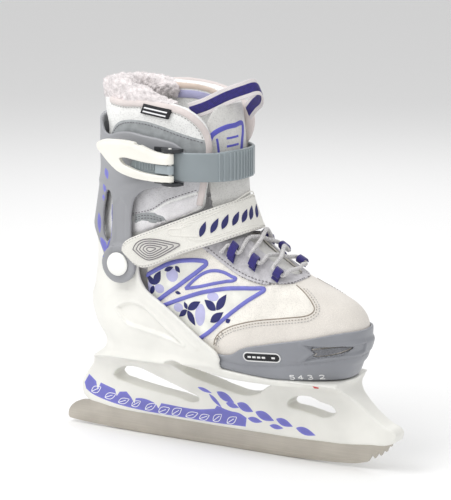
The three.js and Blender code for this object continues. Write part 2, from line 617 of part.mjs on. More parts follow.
// ---- sliding toe section ---------------------------------------------------------
const toeWall = [
  [-12, HEEL_TOP + 0.5], [-12, 86], [16, 85], [30.3, 85.6], [39.9, 91.2], [58.0, 96.1],
  [87.5, 102.5], [116.3, 110.2], [135, 111], [135, 66], [116, FRONT_TOP + 0.5],
  [61, FRONT_TOP + 0.5], [23, 73.5],
];
const toeFloor = [
  [26, 73.2], [61, FRONT_TOP + 0.5], [116, FRONT_TOP + 0.5], [124, 66], [124, 71.8],
  [61, 71.8], [26, 73.9],
];
let toeShell = skin(TOE_SHELL, 66, 116).intersect(sidePrism(toeWall, -60, 60))
  .add(formSolid(TOE_SHELL[1] - 0.6, 64, 78).intersect(sidePrism(toeFloor, -60, 60)));
// Opening for the size button.
const buttonOutline = [[92, 86.6], [113.6, 88.7], [113.6, 96.0], [92, 93.8], [98.0, 90.3]];
toeShell = toeShell.subtract(sidePrism(buttonOutline, -60, -10));
add('toe_shell', toeShell, DARK, 0.45);

const buttonInner = [[94, 87.6], [112.8, 89.4], [112.8, 95.2], [94, 93.2], [99.0, 90.4]];
const sizeButton = skin([TOE_SHELL[0] + 1.5, TOE_SHELL[1] + 0.4], 80, 104)
  .intersect(sidePrism(buttonInner, -60, -10));
add('size_button', sizeButton, 0x5e6066, 0.6);

const vampSide = [
  [-12, 84], [16, 78], [30, 75], [62, 73], [62, 115.3], [85, 120.6], [92, 127], [82, 137],
  [72, 143], [72, 170], [27, 169.5], [8, 165.5], [-22, 156.5], [-48, 146.5], [-48, 112],
];
const toeCapSide = [
  [62.4, 73], [62.4, 114.9], [85.3, 120.2], [92.6, 127.0], [82.4, 137.3], [72.4, 143.4],
  [72.4, 165], [140, 165], [140, 73],
];
const upper = skin([-VAMP_THICK, 0], 72, 186);
const throat = planPrism([
  [12, -13], [30, -9.5], [58, -9], [66, -6], [68, 0], [66, 6], [58, 9], [30, 9.5], [12, 13],
], 120, 220);
add('vamp', upper.intersect(sidePrism(vampSide, -60, 60)).subtract(throat), 0xf0ece8, 0.85);
add('toe_cap', upper.intersect(sidePrism(toeCapSide, -60, 60)).subtract(throat), 0xefe8e0, 0.55);

const gussetSide = [
  [24, 120], [84, 110], [84, 150], [60, 160], [34, 174], [26, 176],
];
const gusset = skin([-6.4, -VAMP_THICK - 0.8], 106, 186)
  .intersect(sidePrism(gussetSide, -18, 18))
  .intersect(formSolid(-VAMP_THICK - 0.8, 100, 186));
add('gusset', gusset, 0xc8c6c4, 0.9);

const eyestaySide = [
  [-1.0, 163.2], [13.7, 154.8], [26.0, 147.6], [38.1, 142.4], [50.2, 139.4], [62.1, 138.2],
  [72, 136.5], [80, 133], [80, 170.5], [27, 170.5], [8, 166.4],
];
const eyestay = skin([0.3, 1.9], 134, 186).intersect(sidePrism(eyestaySide, -60, 60))
  .subtract(throat);
add('eyestay', eyestay, 0xbebcc0, 0.8);

// ---- lace and its loops --------------------------------------------------------------
// Point over the upper's surface, lifted along the surface's own slope.
function overUpper(x, y, lift) {
  const run = 2;
  const height = topZ(x, y);
  const slopeX = Math.max(-1.2, Math.min(0, (topZ(x + run, y) - height) / run));
  const slopeY = Math.max(-2.4, Math.min(2.4, (topZ(x, y + run) - topZ(x, y - run)) / (2 * run)));
  const normal = new THREE.Vector3(-slopeX, -slopeY, 1).normalize();
  return new THREE.Vector3(x, y, height).addScaledVector(normal, lift);
}
const LOOPS = {
  lateral: [[23.5, -25.0], [40, -22.5], [58, -20.0]],
  medial: [[23.5, 24.0], [40, 20.0], [58, 16.0]],
};
const LOOP_WIDTH = 6.5;
const LOOP_THICK = 0.9;
const LACE_LIFT = 5.3;
for (const [label, side] of [['lateral', -1], ['medial', 1]]) {
  LOOPS[label].forEach(([x, y], i) => {
    const inner = y - side * 3.4;
    const outer = y + side * 4.2;
    const low = LACE_LIFT - LACE_D / 2 - 1.0;
    const high = LACE_LIFT + LACE_D / 2 + 1.3;
    const path = smoothPath([
      overUpper(x, outer, low), overUpper(x, y, low), overUpper(x, inner + side * 1.4, low),
      overUpper(x, inner - side * 0.9, LACE_LIFT), overUpper(x, inner + side * 1.4, high),
      overUpper(x, y, high), overUpper(x, outer - side * 0.4, high - 0.9),
    ].map((point) => point.toArray()), 10);
    const ahead3 = overUpper(x + 3, y, 0).sub(overUpper(x - 3, y, 0));
    add(`lace_loop_${label}_${i + 1}`, band(path, LOOP_WIDTH, LOOP_THICK, ahead3.toArray()),
      0x2a1f6a, 0.8);
  });
}

const lacePoints = [];
const through = ([x, y], sign) => {
  const reach = LOOP_WIDTH / 2 + 0.6;
  for (const step of [-1, 0, 1]) {
    lacePoints.push(overUpper(x + sign * step * reach, y - Math.sign(y) * 1.6, LACE_LIFT));
  }
};
const across = (from, to, lift) => {
  for (const t of [0.3, 0.5, 0.7]) {
    const x = from[0] + (to[0] - from[0]) * t;
    const y = from[1] + (to[1] - from[1]) * t;
    lacePoints.push(overUpper(x, y, lift + (t === 0.5 ? 0.4 : 0)));
  }
};
const [near1, near2, near3] = LOOPS.lateral;
const [far1, far2, far3] = LOOPS.medial;
lacePoints.push(overUpper(15.5, -27.4, 4.4));
through(near1, 1);
across(near1, far2, 3.4);
through(far2, 1);
across(far2, near3, 7.2);
through(near3, 1);
lacePoints.push(overUpper(63.5, -11, 4.6), overUpper(65, 0, 3.8), overUpper(63.5, 7.5, 4.6));
through(far3, -1);
across(far3, near2, 3.4);
through(near2, -1);
across(near2, far1, 6.6);
through(far1, -1);
lacePoints.push(overUpper(15.5, 27.0, 4.4));
const laceCurve = new THREE.CatmullRomCurve3(lacePoints, false, 'centripetal');
const LACE_SIDES = 6;
const laceRound = shapeOf([...Array(LACE_SIDES)].map((_, k) => [
  (LACE_D / 2) * Math.cos((2 * Math.PI * k) / LACE_SIDES),
  (LACE_D / 2) * Math.sin((2 * Math.PI * k) / LACE_SIDES)]));
add('lace', solid(new THREE.ExtrudeGeometry(laceRound, {
  steps: 66, extrudePath: laceCurve, bevelEnabled: false,
})), 0xd9d9dd, 0.85);

export default root;
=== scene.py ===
import math
import random

import bmesh
import bpy
import numpy as np
from mathutils import Matrix, Vector
from mathutils.bvhtree import BVHTree
from mathutils.geometry import delaunay_2d_cdt


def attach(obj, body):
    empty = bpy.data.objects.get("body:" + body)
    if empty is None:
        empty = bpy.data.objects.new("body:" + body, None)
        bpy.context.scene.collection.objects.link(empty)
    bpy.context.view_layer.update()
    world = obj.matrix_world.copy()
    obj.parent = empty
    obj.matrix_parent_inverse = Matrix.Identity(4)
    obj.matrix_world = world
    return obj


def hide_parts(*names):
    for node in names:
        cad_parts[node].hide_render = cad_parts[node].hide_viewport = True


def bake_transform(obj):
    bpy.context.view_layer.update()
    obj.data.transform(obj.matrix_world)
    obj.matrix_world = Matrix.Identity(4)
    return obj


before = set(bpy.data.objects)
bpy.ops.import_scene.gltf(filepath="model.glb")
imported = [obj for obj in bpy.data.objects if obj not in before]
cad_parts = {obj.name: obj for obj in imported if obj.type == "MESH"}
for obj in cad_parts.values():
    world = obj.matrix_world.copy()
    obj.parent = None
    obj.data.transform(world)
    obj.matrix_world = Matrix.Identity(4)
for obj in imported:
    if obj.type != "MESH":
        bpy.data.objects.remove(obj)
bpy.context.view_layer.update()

MM = 0.001
LATERAL = -1
MEDIAL = 1

# ---- camera, floor and light -------------------------------------------------------------------
CAMERA_AZIMUTH = math.radians(30)
CAMERA_ELEVATION = math.radians(11.75)
CAMERA_DISTANCE = 1.6
CAMERA_TARGET = Vector((0, 0, 0.14))
CAMERA_LENS = 149.6
CAMERA_SHIFT = (0.0064, 0.04)
WORLD_LIGHT = 0.68
FLOOR_HALF = 20           # metres
# Name, azimuth and elevation in degrees, distance and size in metres, watts.
LIGHTS = [("key", -35, 48, 1.5, 1.0, 11.0), ("fill", 75, 25, 1.8, 1.4, 2.4),
          ("top", 20, 85, 1.4, 1.2, 4.0), ("rim", 200, 40, 1.6, 0.9, 4.0)]


def direction(azimuth, elevation):
    return Vector((math.sin(azimuth) * math.cos(elevation),
                   -math.cos(azimuth) * math.cos(elevation), math.sin(elevation)))


def make_camera():
    data = bpy.data.cameras.new("camera")
    data.lens = CAMERA_LENS
    data.sensor_width = 36
    data.shift_x, data.shift_y = CAMERA_SHIFT
    camera = bpy.data.objects.new("camera", data)
    back = direction(CAMERA_AZIMUTH, CAMERA_ELEVATION)
    camera.location = CAMERA_TARGET + back * CAMERA_DISTANCE
    camera.rotation_euler = (-back).to_track_quat("-Z", "Y").to_euler()
    bpy.context.scene.collection.objects.link(camera)
    bpy.context.scene.camera = camera


def area_light(name, azimuth, elevation, distance, size, watts):
    data = bpy.data.lights.new(name, "AREA")
    data.size = size
    data.energy = watts
    light = bpy.data.objects.new(name, data)
    toward = direction(math.radians(azimuth), math.radians(elevation))
    light.location = CAMERA_TARGET + toward * distance
    light.rotation_euler = toward.to_track_quat("Z", "Y").to_euler()
    bpy.context.scene.collection.objects.link(light)


def make_stage():
    world = bpy.data.worlds.new("studio")
    world.use_nodes = True
    world.node_tree.nodes["Background"].inputs["Color"].default_value = (1, 1, 1, 1)
    world.node_tree.nodes["Background"].inputs["Strength"].default_value = WORLD_LIGHT
    bpy.context.scene.world = world
    bpy.context.scene.view_settings.view_transform = "Standard"
    half = FLOOR_HALF
    mesh = bpy.data.meshes.new("floor")
    mesh.from_pydata([(-half, -half, -0.0005), (half, -half, -0.0005),
                      (half, half, -0.0005), (-half, half, -0.0005)], [], [(0, 1, 2, 3)])
    floor = bpy.data.objects.new("floor", mesh)
    bpy.context.scene.collection.objects.link(floor)
    floor.data.materials.append(surface("floor_pale", (246, 246, 246), 0.9, vary=0.0))
    for light in LIGHTS:
        area_light(*light)


# ---- materials ---------------------------------------------------------------------------------
def linear(colour):
    def channel(value):
        share = value / 255
        return share / 12.92 if share <= 0.04045 else ((share + 0.055) / 1.055) ** 2.4
    return (*[channel(value) for value in colour], 1)


def shade(colour, factor):
    return tuple(min(255, max(0, value * factor)) for value in colour)


class Nodes:
    """Small helper that adds and links shader nodes."""

    def __init__(self, name):
        self.material = bpy.data.materials.new(name)
        self.material.use_nodes = True
        self.tree = self.material.node_tree
        self.shader = self.tree.nodes["Principled BSDF"]
        self.place = self.add("ShaderNodeTexCoord").outputs["Object"]

    def add(self, kind, inputs=None, **settings):
        node = self.tree.nodes.new(kind)
        for key, value in settings.items():
            setattr(node, key, value)
        for key, value in (inputs or {}).items():
            if isinstance(value, bpy.types.NodeSocket):
                self.tree.links.new(value, node.inputs[key])
            else:
                node.inputs[key].default_value = value
        return node

    def noise(self, size, detail=3.0, place=None):
        return self.add("ShaderNodeTexNoise", {
            "Vector": place or self.place, "Scale": 1000 / size, "Detail": detail}
        ).outputs["Fac"]

    def cells(self, size, feature="F1"):
        return self.add("ShaderNodeTexVoronoi", {
            "Vector": self.place, "Scale": 1000 / size}, feature=feature
        ).outputs["Distance"]

    def waves(self, size, axis):
        return self.add("ShaderNodeTexWave", {
            "Vector": self.place, "Scale": WAVE_UNIT / size},
            bands_direction=axis).outputs["Fac"]

    def math(self, operation, a, b):
        return self.add("ShaderNodeMath", {0: a, 1: b}, operation=operation).outputs[0]

    def ramp(self, value, low, high, to_low=0.0, to_high=1.0):
        return self.add("ShaderNodeMapRange", {
            "Value": value, "From Min": low, "From Max": high,
            "To Min": to_low, "To Max": to_high}).outputs["Result"]

    def blend(self, factor, a, b):
        node = self.add("ShaderNodeMix", {0: factor}, data_type="RGBA")
        for socket, value in ((node.inputs[6], a), (node.inputs[7], b)):
            if isinstance(value, bpy.types.NodeSocket):
                self.tree.links.new(value, socket)
            else:
                socket.default_value = value
        return node.outputs[2]

    def bump(self, height, strength, distance, under=None):
        inputs = {"Height": height, "Strength": strength, "Distance": distance * MM}
        if under is not None:
            inputs["Normal"] = under
        return self.add("ShaderNodeBump", inputs).outputs["Normal"]

    def finish(self, colour, roughness, normal):
        self.tree.links.new(colour, self.shader.inputs["Base Color"])
        self.tree.links.new(roughness, self.shader.inputs["Roughness"])
        self.tree.links.new(normal, self.shader.inputs["Normal"])
        return self.material


MADE = {}
WAVE_UNIT = 314          # a wave texture of scale 1 repeats every 314 mm


def surface(name, colour, roughness, metallic=0.0, sheen=0.0, coat=0.0, vary=0.05, patch=14,
            grain=0.15, grain_size=0.5, pattern=None, pitch=1.0, depth=0.3, edge_highlight=0.0):
    """A finish: colour that varies over patches, fine grain, and a woven or grained pattern with
    painted shade in its hollows, plus an optional painted highlight on convex edges.
    """
    if name in MADE:
        return MADE[name]
    n = Nodes(name)
    n.shader.inputs["Metallic"].default_value = metallic
    n.shader.inputs["Sheen Weight"].default_value = sheen
    n.shader.inputs["Sheen Roughness"].default_value = 0.5
    n.shader.inputs["Coat Weight"].default_value = coat
    n.shader.inputs["Coat Roughness"].default_value = 0.25
    base = n.blend(n.ramp(n.noise(patch), 0.35, 0.65),
                   linear(shade(colour, 1 - vary)), linear(shade(colour, 1 + vary)))
    normal = n.bump(n.noise(grain_size, 2.0), grain, 0.12)
    height = None
    if pattern == "mesh":        # knitted spacer mesh: small round holes
        height = n.ramp(n.cells(pitch), 0.1, 0.55)
    if pattern == "leather":     # pebbled grain with creases between the pebbles
        height = n.math("POWER", n.cells(pitch, "DISTANCE_TO_EDGE"), 0.5)
    if pattern == "weave":       # two thread directions
        height = n.math("MAXIMUM", n.waves(pitch, "X"), n.waves(pitch, "Z"))
    if pattern == "ribbed":      # webbing picks across the band
        height = n.waves(pitch, "DIAGONAL")
    if pattern == "pile":        # clumped short fibres
        height = n.math("ADD", n.noise(pitch, 4.0), n.cells(pitch * 1.7))
    if pattern == "brushed":     # long fine scratches along the blade
        stretched = n.add("ShaderNodeMapping", {"Vector": n.place, "Scale": (0.02, 1, 1)})
        height = n.noise(pitch, 5.0, stretched.outputs["Vector"])
    if height is not None:
        normal = n.bump(height, 0.8, depth, normal)
        # painted shade: the pattern's hollows are darkened as if shaded
        dark = n.ramp(height, 0.1, 0.8, 0.35, 0.0)
        base = n.blend(dark, base, linear(shade(colour, 0.72)))
    if edge_highlight:                     # convex edges painted lighter: a painted edge highlight
        edge = n.add("ShaderNodeNewGeometry").outputs["Pointiness"]
        base = n.blend(n.ramp(edge, 0.52, 0.62, 0.0, edge_highlight), base, linear(shade(colour, 1.3)))
    rough = n.ramp(n.noise(patch / 3), 0.3, 0.7, roughness - 0.06, min(1, roughness + 0.06))
    MADE[name] = n.finish(base, rough, normal)
    return MADE[name]


def plastic(name, colour, roughness):
    return surface(name, colour, roughness, coat=0.12, vary=0.025, patch=40, grain=0.12,
                   grain_size=0.7, edge_highlight=0.35)


# ---- the boot's form, as in the CAD source -----------------------------------------------------
# Height, rear x, front x and half width of the fabric upper.
FORM = np.array([
    (60, -88, 104, 32.0), (72, -93, 110.5, 36.0), (80, -96.5, 113.5, 38.5),
    (90, -103, 118, 40.5), (100, -107, 120.3, 40.5), (112, -108.5, 119.5, 39.5),
    (122, -105.5, 112, 37.5), (130, -104, 97, 36.0), (138, -102.5, 79, 34.8),
    (148, -101.5, 60, 33.2), (160, -101.5, 41, 31.6), (172, -99, 27, 30.6),
    (186, -96.5, 22, 30.0), (200, -94, 20, 30.0), (216, -92, 18, 30.5),
    (232, -92, 16, 31.0), (250, -91.5, 15, 31.0), (268, -92.5, 13, 30.8),
    (292, -94, 9, 30.0)], float)
RING = 168                # points round one section
STEP = 2.0                # height between sections


def smooth(t):
    c = np.clip(t, 0, 1)
    return c * c * (3 - 2 * c)


def hermite(t, a, start, b, end):
    """Cubic from a to b with the slopes start and end."""
    return ((2 * t**3 - 3 * t**2 + 1) * a + (t**3 - 2 * t**2 + t) * start
            + (3 * t**2 - 2 * t**3) * b + (t**3 - t**2) * end)


def form_value(z, column):
    """Catmull-Rom value of one FORM column at height z."""
    last = len(FORM) - 1
    i = 0
    while i < last - 1 and z > FORM[i + 1][0]:
        i += 1
    before, a, b, after = (FORM[k] for k in (max(i - 1, 0), i, i + 1, min(i + 2, last)))
    span = b[0] - a[0]
    t = min(1, max(0, (z - a[0]) / span))
    slope_a = (b[column] - before[column]) / max(b[0] - before[0], 1) * span
    slope_b = (after[column] - a[column]) / max(after[0] - a[0], 1) * span
    return hermite(t, a[column], slope_a, b[column], slope_b)


def width_shape(u, z):
    oval = np.maximum(0, 1 - np.abs(2 * u - 1) ** 2.5) ** 0.4
    foot = 1 - smooth((z - 105) / 50)
    return oval * (1 - 0.13 * foot * (1 - smooth((u - 0.25) / 0.4)))


def centre_shift(u, z):
    return 5 * smooth((u - 0.5) / 0.5) * (1 - smooth((z - 110) / 40))


def ring(z, offset):
    rear = form_value(z, 1) - offset
    front = form_value(z, 2) + offset
    half = form_value(z, 3) + offset
    angle = np.arange(RING) * 2 * math.pi / RING
    u = (1 - np.cos(angle)) / 2
    side = np.where(np.arange(RING) <= RING // 2, -1, 1)
    y = side * half * width_shape(u, z) + centre_shift(u, z)
    return np.column_stack([rear + (front - rear) * u, y, np.full(RING, float(z))])


def side_y(x, z, offset, side):
    """y of the form's wall at x and z."""
    rear = form_value(z, 1) - offset
    front = form_value(z, 2) + offset
    u = min(0.999, max(0.001, (x - rear) / (front - rear)))
    return side * (form_value(z, 3) + offset) * width_shape(u, z) + centre_shift(u, z)


def top_z(x, y):
    """Height of the upper's top surface over the point x, y."""
    for z in np.arange(172, 70, -0.25):
        if form_value(z, 1) < x < form_value(z, 2):
            if abs(side_y(x, z, 0, -1 if y < 0 else 1)) >= abs(y):
                return z
    return 70.0


def over_upper(x, y, lift):
    """Point over the upper's top surface, lifted along its slope."""
    run = 2
    height = top_z(x, y)
    slope_x = max(-1.2, min(0, (top_z(x + run, y) - height) / run))
    slope_y = max(-2.4, min(2.4, (top_z(x, y + run) - top_z(x, y - run)) / (2 * run)))
    normal = np.array([-slope_x, -slope_y, 1])
    return np.array([x, y, height]) + normal / np.linalg.norm(normal) * lift


# ---- mesh tools --------------------------------------------------------------------------------
def make(name, points, faces):
    """A new object from points in millimetres."""
    mesh = bpy.data.meshes.new(name)
    mesh.from_pydata((np.asarray(points, float) * MM).tolist(), [], faces)
    mesh.validate()
    piece = bpy.data.objects.new(name, mesh)
    bpy.context.scene.collection.objects.link(piece)
    return piece


def bake(piece):
    """Applies the modifiers."""
    depsgraph = bpy.context.evaluated_depsgraph_get()
    mesh = bpy.data.meshes.new_from_object(piece.evaluated_get(depsgraph))
    piece.modifiers.clear()
    piece.data = mesh
    return piece


def loft_data(rings, closed=False):
    """Points and faces of a skin through equal rings; capped, or closed on itself."""
    count = len(rings[0])
    points = np.concatenate(rings)
    faces = []
    for r in range(len(rings) if closed else len(rings) - 1):
        low = r * count
        high = (r + 1) % len(rings) * count
        for k in range(count):
            after = (k + 1) % count
            faces.append((low + k, low + after, high + after, high + k))
    if not closed:
        faces.append(tuple(range(count))[::-1])
        faces.append(tuple(range(len(points) - count, len(points))))
    return points, faces


def levels(low, high):
    return np.linspace(low, high, max(2, int(round((high - low) / STEP)) + 1))


def form_solid(name, offset, low, high):
    return make(name, *loft_data([ring(z, offset) for z in levels(low, high)]))


def skin(name, inner, outer, low, high):
    """Closed wall between two offsets of the form; an offset may be a function of height."""
    def at(offset, z):
        return offset(z) if callable(offset) else offset
    heights = levels(low, high)
    outside = [ring(z, at(outer, z)) for z in heights]
    inside = [ring(z, at(inner, z)) for z in heights[::-1]]
    return make(name, *loft_data(outside + inside, closed=True))


def outline(points, step=1.2, crease=50):
    """Closed outline through the points: smooth, except at corners sharper than crease."""
    p = np.asarray(points, float)
    count = len(p)
    ahead = np.roll(p, -1, axis=0) - p
    length = np.linalg.norm(ahead, axis=1)
    unit = ahead / length[:, None]
    turn = [math.degrees(math.acos(np.clip(unit[i - 1] @ unit[i], -1, 1))) for i in range(count)]
    found = []
    for i in range(count):
        j = (i + 1) % count
        def tangent(k, own):
            if turn[k] > crease:
                return own
            before, after = length[k - 1], length[k]
            return (unit[k - 1] * after + unit[k] * before) / (before + after)
        start = tangent(i, unit[i]) * length[i]
        end = tangent(j, unit[i]) * length[i]
        steps = max(1, int(round(length[i] / step)))
        found += [hermite(t, p[i], start, p[j], end) for t in np.arange(steps) / steps]
    return np.array(found)


def lengths(points):
    """Distance along a path at each of its points."""
    return np.concatenate([[0], np.cumsum(np.linalg.norm(np.diff(points, axis=0), axis=1))])


def sample(points, run, at):
    """A path's points at the distances in at, where run is the path's lengths."""
    return np.column_stack([np.interp(at, run, points[:, k]) for k in range(points.shape[1])])


def disc(a, b, radius, count):
    """Points of a circle about a, b."""
    return [(a + radius * math.cos(k * math.pi / (count / 2)),
             b + radius * math.sin(k * math.pi / (count / 2))) for k in range(count)]


def path(points, step=1.0):
    """Open smooth path through 3-D points, evenly spaced."""
    p = np.asarray(points, float)
    before = np.vstack([2 * p[0] - p[1], p[:-1]])
    after = np.vstack([p[1:], 2 * p[-1] - p[-2]])
    dense = []
    for i in range(len(p) - 1):
        length = np.linalg.norm(p[i + 1] - p[i])
        start = (after[i] - before[i]) / np.linalg.norm(after[i] - before[i]) * length
        end = after[i + 1] - before[i + 1]
        end = end / np.linalg.norm(end) * length
        dense += [hermite(t, p[i], start, p[i + 1], end)
                  for t in np.linspace(0, 1, 12, endpoint=False)]
    dense = np.array(dense + [p[-1]])
    run = lengths(dense)
    return sample(dense, run, np.linspace(0, run[-1], max(2, int(round(run[-1] / step)) + 1)))


def prism(name, points, low, high, plane="xz"):
    """Outline given thickness across its plane, which is xz, xy or yz."""
    p = np.asarray(points, float)
    area = (p[:, 0] * np.roll(p[:, 1], -1) - p[:, 1] * np.roll(p[:, 0], -1)).sum()
    if (area > 0) == (plane == "xz"):
        p = p[::-1]
    def lay(value):
        fixed = np.full(len(p), float(value))
        parts = {"xz": (p[:, 0], fixed, p[:, 1]), "xy": (p[:, 0], p[:, 1], fixed),
                 "yz": (fixed, p[:, 0], p[:, 1])}[plane]
        return np.column_stack(parts)
    return make(name, *loft_data([lay(low), lay(high)]))


def tube_data(points, radius, sides=12, flat=1.0, up=None):
    """Tube along a path; flat is the share of the radius kept along up."""
    p = np.asarray(points, float)
    along = np.gradient(p, axis=0)
    along /= np.linalg.norm(along, axis=1)[:, None]
    rings = []
    side = None
    for i, point in enumerate(p):
        guide = np.array(up[i] if up is not None and np.ndim(up) == 2 else
                         (up if up is not None else (0.13, 0.21, 1.0)), float)
        if up is None and side is not None:
            guide = np.cross(side, along[i])
        side = np.cross(along[i], guide)
        side /= np.linalg.norm(side)
        lift = np.cross(side, along[i])
        angle = -np.arange(sides) * 2 * math.pi / sides
        size = radius(i / (len(p) - 1)) if callable(radius) else radius
        rings.append(point + size * (np.cos(angle)[:, None] * side
                                     + flat * np.sin(angle)[:, None] * lift))
    return loft_data(rings)


def tube(name, points, radius, sides=12, flat=1.0, up=None):
    return make(name, *tube_data(points, radius, sides, flat, up))


def cylinder(name, x, z, radius, low, high, sides=64):
    angle = np.arange(sides) * 2 * math.pi / sides
    circle = np.column_stack([x + radius * np.cos(angle), z + radius * np.sin(angle)])
    return prism(name, circle, low, high)


def join(base, *others):
    """Adds the others' meshes to base, as one object."""
    points, faces, start = [], [], 0
    for piece in (base, *others):
        points += [tuple(v.co) for v in piece.data.vertices]
        faces += [tuple(start + k for k in f.vertices) for f in piece.data.polygons]
        start = len(points)
    mesh = bpy.data.meshes.new(base.name)
    mesh.from_pydata(points, [], faces)
    base.data = mesh
    for piece in others:
        bpy.data.objects.remove(piece)
    return base


def boolean(base, operation, *tools):
    for tool in tools:
        modifier = base.modifiers.new("cut", "BOOLEAN")
        modifier.object = tool
        modifier.operation = operation
        modifier.solver = "EXACT"
        bake(base)
        bpy.data.objects.remove(tool)
    return base


def within(base, *tools):
    return boolean(base, "INTERSECT", *tools)


def cut(base, *tools):
    return boolean(base, "DIFFERENCE", *tools)


def trim(base, points, low=-70, high=70):
    """Keeps what lies inside a smooth side-view outline."""
    return within(base, prism("trim", outline(points), low, high))


def mould(piece, voxel=0.8, rounds=5):
    """Fuses a piece's solids into one skin with softly rounded edges."""
    remesh = piece.modifiers.new("remesh", "REMESH")
    remesh.mode = "VOXEL"
    remesh.voxel_size = voxel * MM
    soften = piece.modifiers.new("soften", "SMOOTH")
    soften.factor = 0.5
    soften.iterations = rounds
    return smooth_shaded(bake(piece))


def smooth_shaded(piece, angle=None):
    piece.data.polygons.foreach_set("use_smooth", [True] * len(piece.data.polygons))
    if angle is not None:
        piece.data.set_sharp_from_angle(angle=math.radians(angle))
    return piece


def bevelled(piece, width=0.4, segments=3, angle=35):
    modifier = piece.modifiers.new("bevel", "BEVEL")
    modifier.width = width * MM
    modifier.segments = segments
    modifier.limit_method = "ANGLE"
    modifier.angle_limit = math.radians(angle)
    return smooth_shaded(bake(piece), angle)


def coordinates(piece):
    co = np.empty(len(piece.data.vertices) * 3)
    piece.data.vertices.foreach_get("co", co)
    return co.reshape(-1, 3) / MM


def relieve(piece, lift):
    """Moves each point along its normal by lift(points, normals), in millimetres."""
    co = coordinates(piece)
    normals = np.array([tuple(v.normal) for v in piece.data.vertices])
    moved = co + normals * lift(co, normals)[:, None]
    piece.data.vertices.foreach_set("co", (moved * MM).ravel())
    piece.data.update()
    return piece


def inside_depth(points, polygon):
    """Distance in from a closed outline's edge, negative outside it."""
    p = np.asarray(points, float)
    a = np.asarray(polygon, float)
    b = np.roll(a, -1, axis=0)
    nearest = np.full(len(p), 1e9)
    crossings = np.zeros(len(p), int)
    for (ax, ay), (bx, by) in zip(a, b):
        dx, dy = bx - ax, by - ay
        t = np.clip(((p[:, 0] - ax) * dx + (p[:, 1] - ay) * dy) / (dx * dx + dy * dy), 0, 1)
        nearest = np.minimum(nearest, np.hypot(p[:, 0] - ax - t * dx, p[:, 1] - ay - t * dy))
        spans = (ay > p[:, 1]) != (by > p[:, 1])
        if dy:
            crossings += spans & (p[:, 0] < ax + (p[:, 1] - ay) / dy * dx)
    return np.where(crossings % 2 == 1, nearest, -nearest)


# ---- things laid on a surface ------------------------------------------------------------------
class Target:
    """Finds the surface of a piece along a direction, for prints, seams and raised trims."""

    def __init__(self, *pieces):
        points, faces, start = [], [], 0
        for piece in pieces:
            co = coordinates(piece)
            points += co.tolist()
            faces += [tuple(start + k for k in f.vertices) for f in piece.data.polygons]
            start = len(points)
        self.tree = BVHTree.FromPolygons(points, faces)

    def side(self, side, inner=False):
        """Maps x, z onto the wall that faces the given side."""
        def place(a, b):
            start = Vector((a, 0 if inner else side * 200, b))
            toward = Vector((0, side if inner else -side, 0))
            return self.hit(start, toward)
        return place

    def front(self, azimuth=0.0):
        """Maps y, z onto the front, seen from an azimuth off the X axis."""
        forward = Vector((math.cos(azimuth), math.sin(azimuth), 0))
        across = Vector((-math.sin(azimuth), math.cos(azimuth), 0))
        def place(a, b):
            return self.hit(across * a + Vector((0, 0, b)) + forward * 200, -forward)
        return place

    def over(self, x, y, z):
        """The outer surface at x, y, z, looked at toward the middle of the foot."""
        outward = Vector((0, y, z - 112)).normalized()
        return self.hit(Vector((x, y, z)) + outward * 8, -outward)

    def hit(self, start, toward):
        point, normal, _, _ = self.tree.ray_cast(start, toward, 500)
        if point is None:
            point, normal, _, _ = self.tree.find_nearest(start + toward * 165)
        if normal.dot(toward) > 0:
            normal = -normal
        return np.array(point), np.array(normal)


def patch(name, shape, place, base=0.12, rise=0.0, round_over=1.0, spacing=1.6, sink=0.35):
    """A thin closed piece with a flat outline, laid on a surface by place(a, b)."""
    loop = np.asarray(shape, float)
    low = loop.min(0)
    high = loop.max(0)
    grid = np.array([(a, b) for a in np.arange(low[0], high[0], spacing)
                     for b in np.arange(low[1], high[1], spacing)]).reshape(-1, 2)
    if len(grid):
        grid = grid[inside_depth(grid, loop) > spacing * 0.45]
    points = [Vector(q) for q in (*loop, *grid)]
    edges = [(k, (k + 1) % len(loop)) for k in range(len(loop))]
    flat, _, triangles, *_ = delaunay_2d_cdt(points, edges, [], 0, 1e-5)
    flat = np.array([tuple(q) for q in flat])
    middle = np.array([flat[list(t)].mean(0) for t in triangles])
    keep = inside_depth(middle, loop) > 0
    triangles = [t for t, inside in zip(triangles, keep) if inside]
    in_from = np.clip(inside_depth(flat, loop) / round_over, 0, 1)
    lift = base + rise * np.sqrt(np.maximum(0, 1 - (1 - in_from) ** 2))
    top, bottom = [], []
    for (a, b), up in zip(flat, lift):
        point, normal = place(a, b)
        top.append(point + normal * up)
        bottom.append(point - normal * sink)
    return close_sheet(name, np.array(top), np.array(bottom), triangles)


def close_sheet(name, top, bottom, triangles):
    """Closed solid between two copies of a triangulated sheet."""
    used = sorted({k for t in triangles for k in t})
    index = {k: i for i, k in enumerate(used)}
    count = len(used)
    faces = [tuple(index[k] for k in t) for t in triangles]
    edges = {}
    for t in faces:
        for a, b in zip(t, t[1:] + t[:1]):
            edges[(a, b)] = edges.get((a, b), 0) + 1
    walls = [(b, a, a + count, b + count) for a, b in edges if (b, a) not in edges]
    back = [tuple(k + count for k in t[::-1]) for t in faces]
    points = np.vstack([top[used], bottom[used]])
    piece = make(name, points, faces + back + walls)
    fix_normals(piece)
    return smooth_shaded(piece, 50)


def fix_normals(piece):
    work = bmesh.new()
    work.from_mesh(piece.data)
    bmesh.ops.recalc_face_normals(work, faces=work.faces)
    work.to_mesh(piece.data)
    work.free()


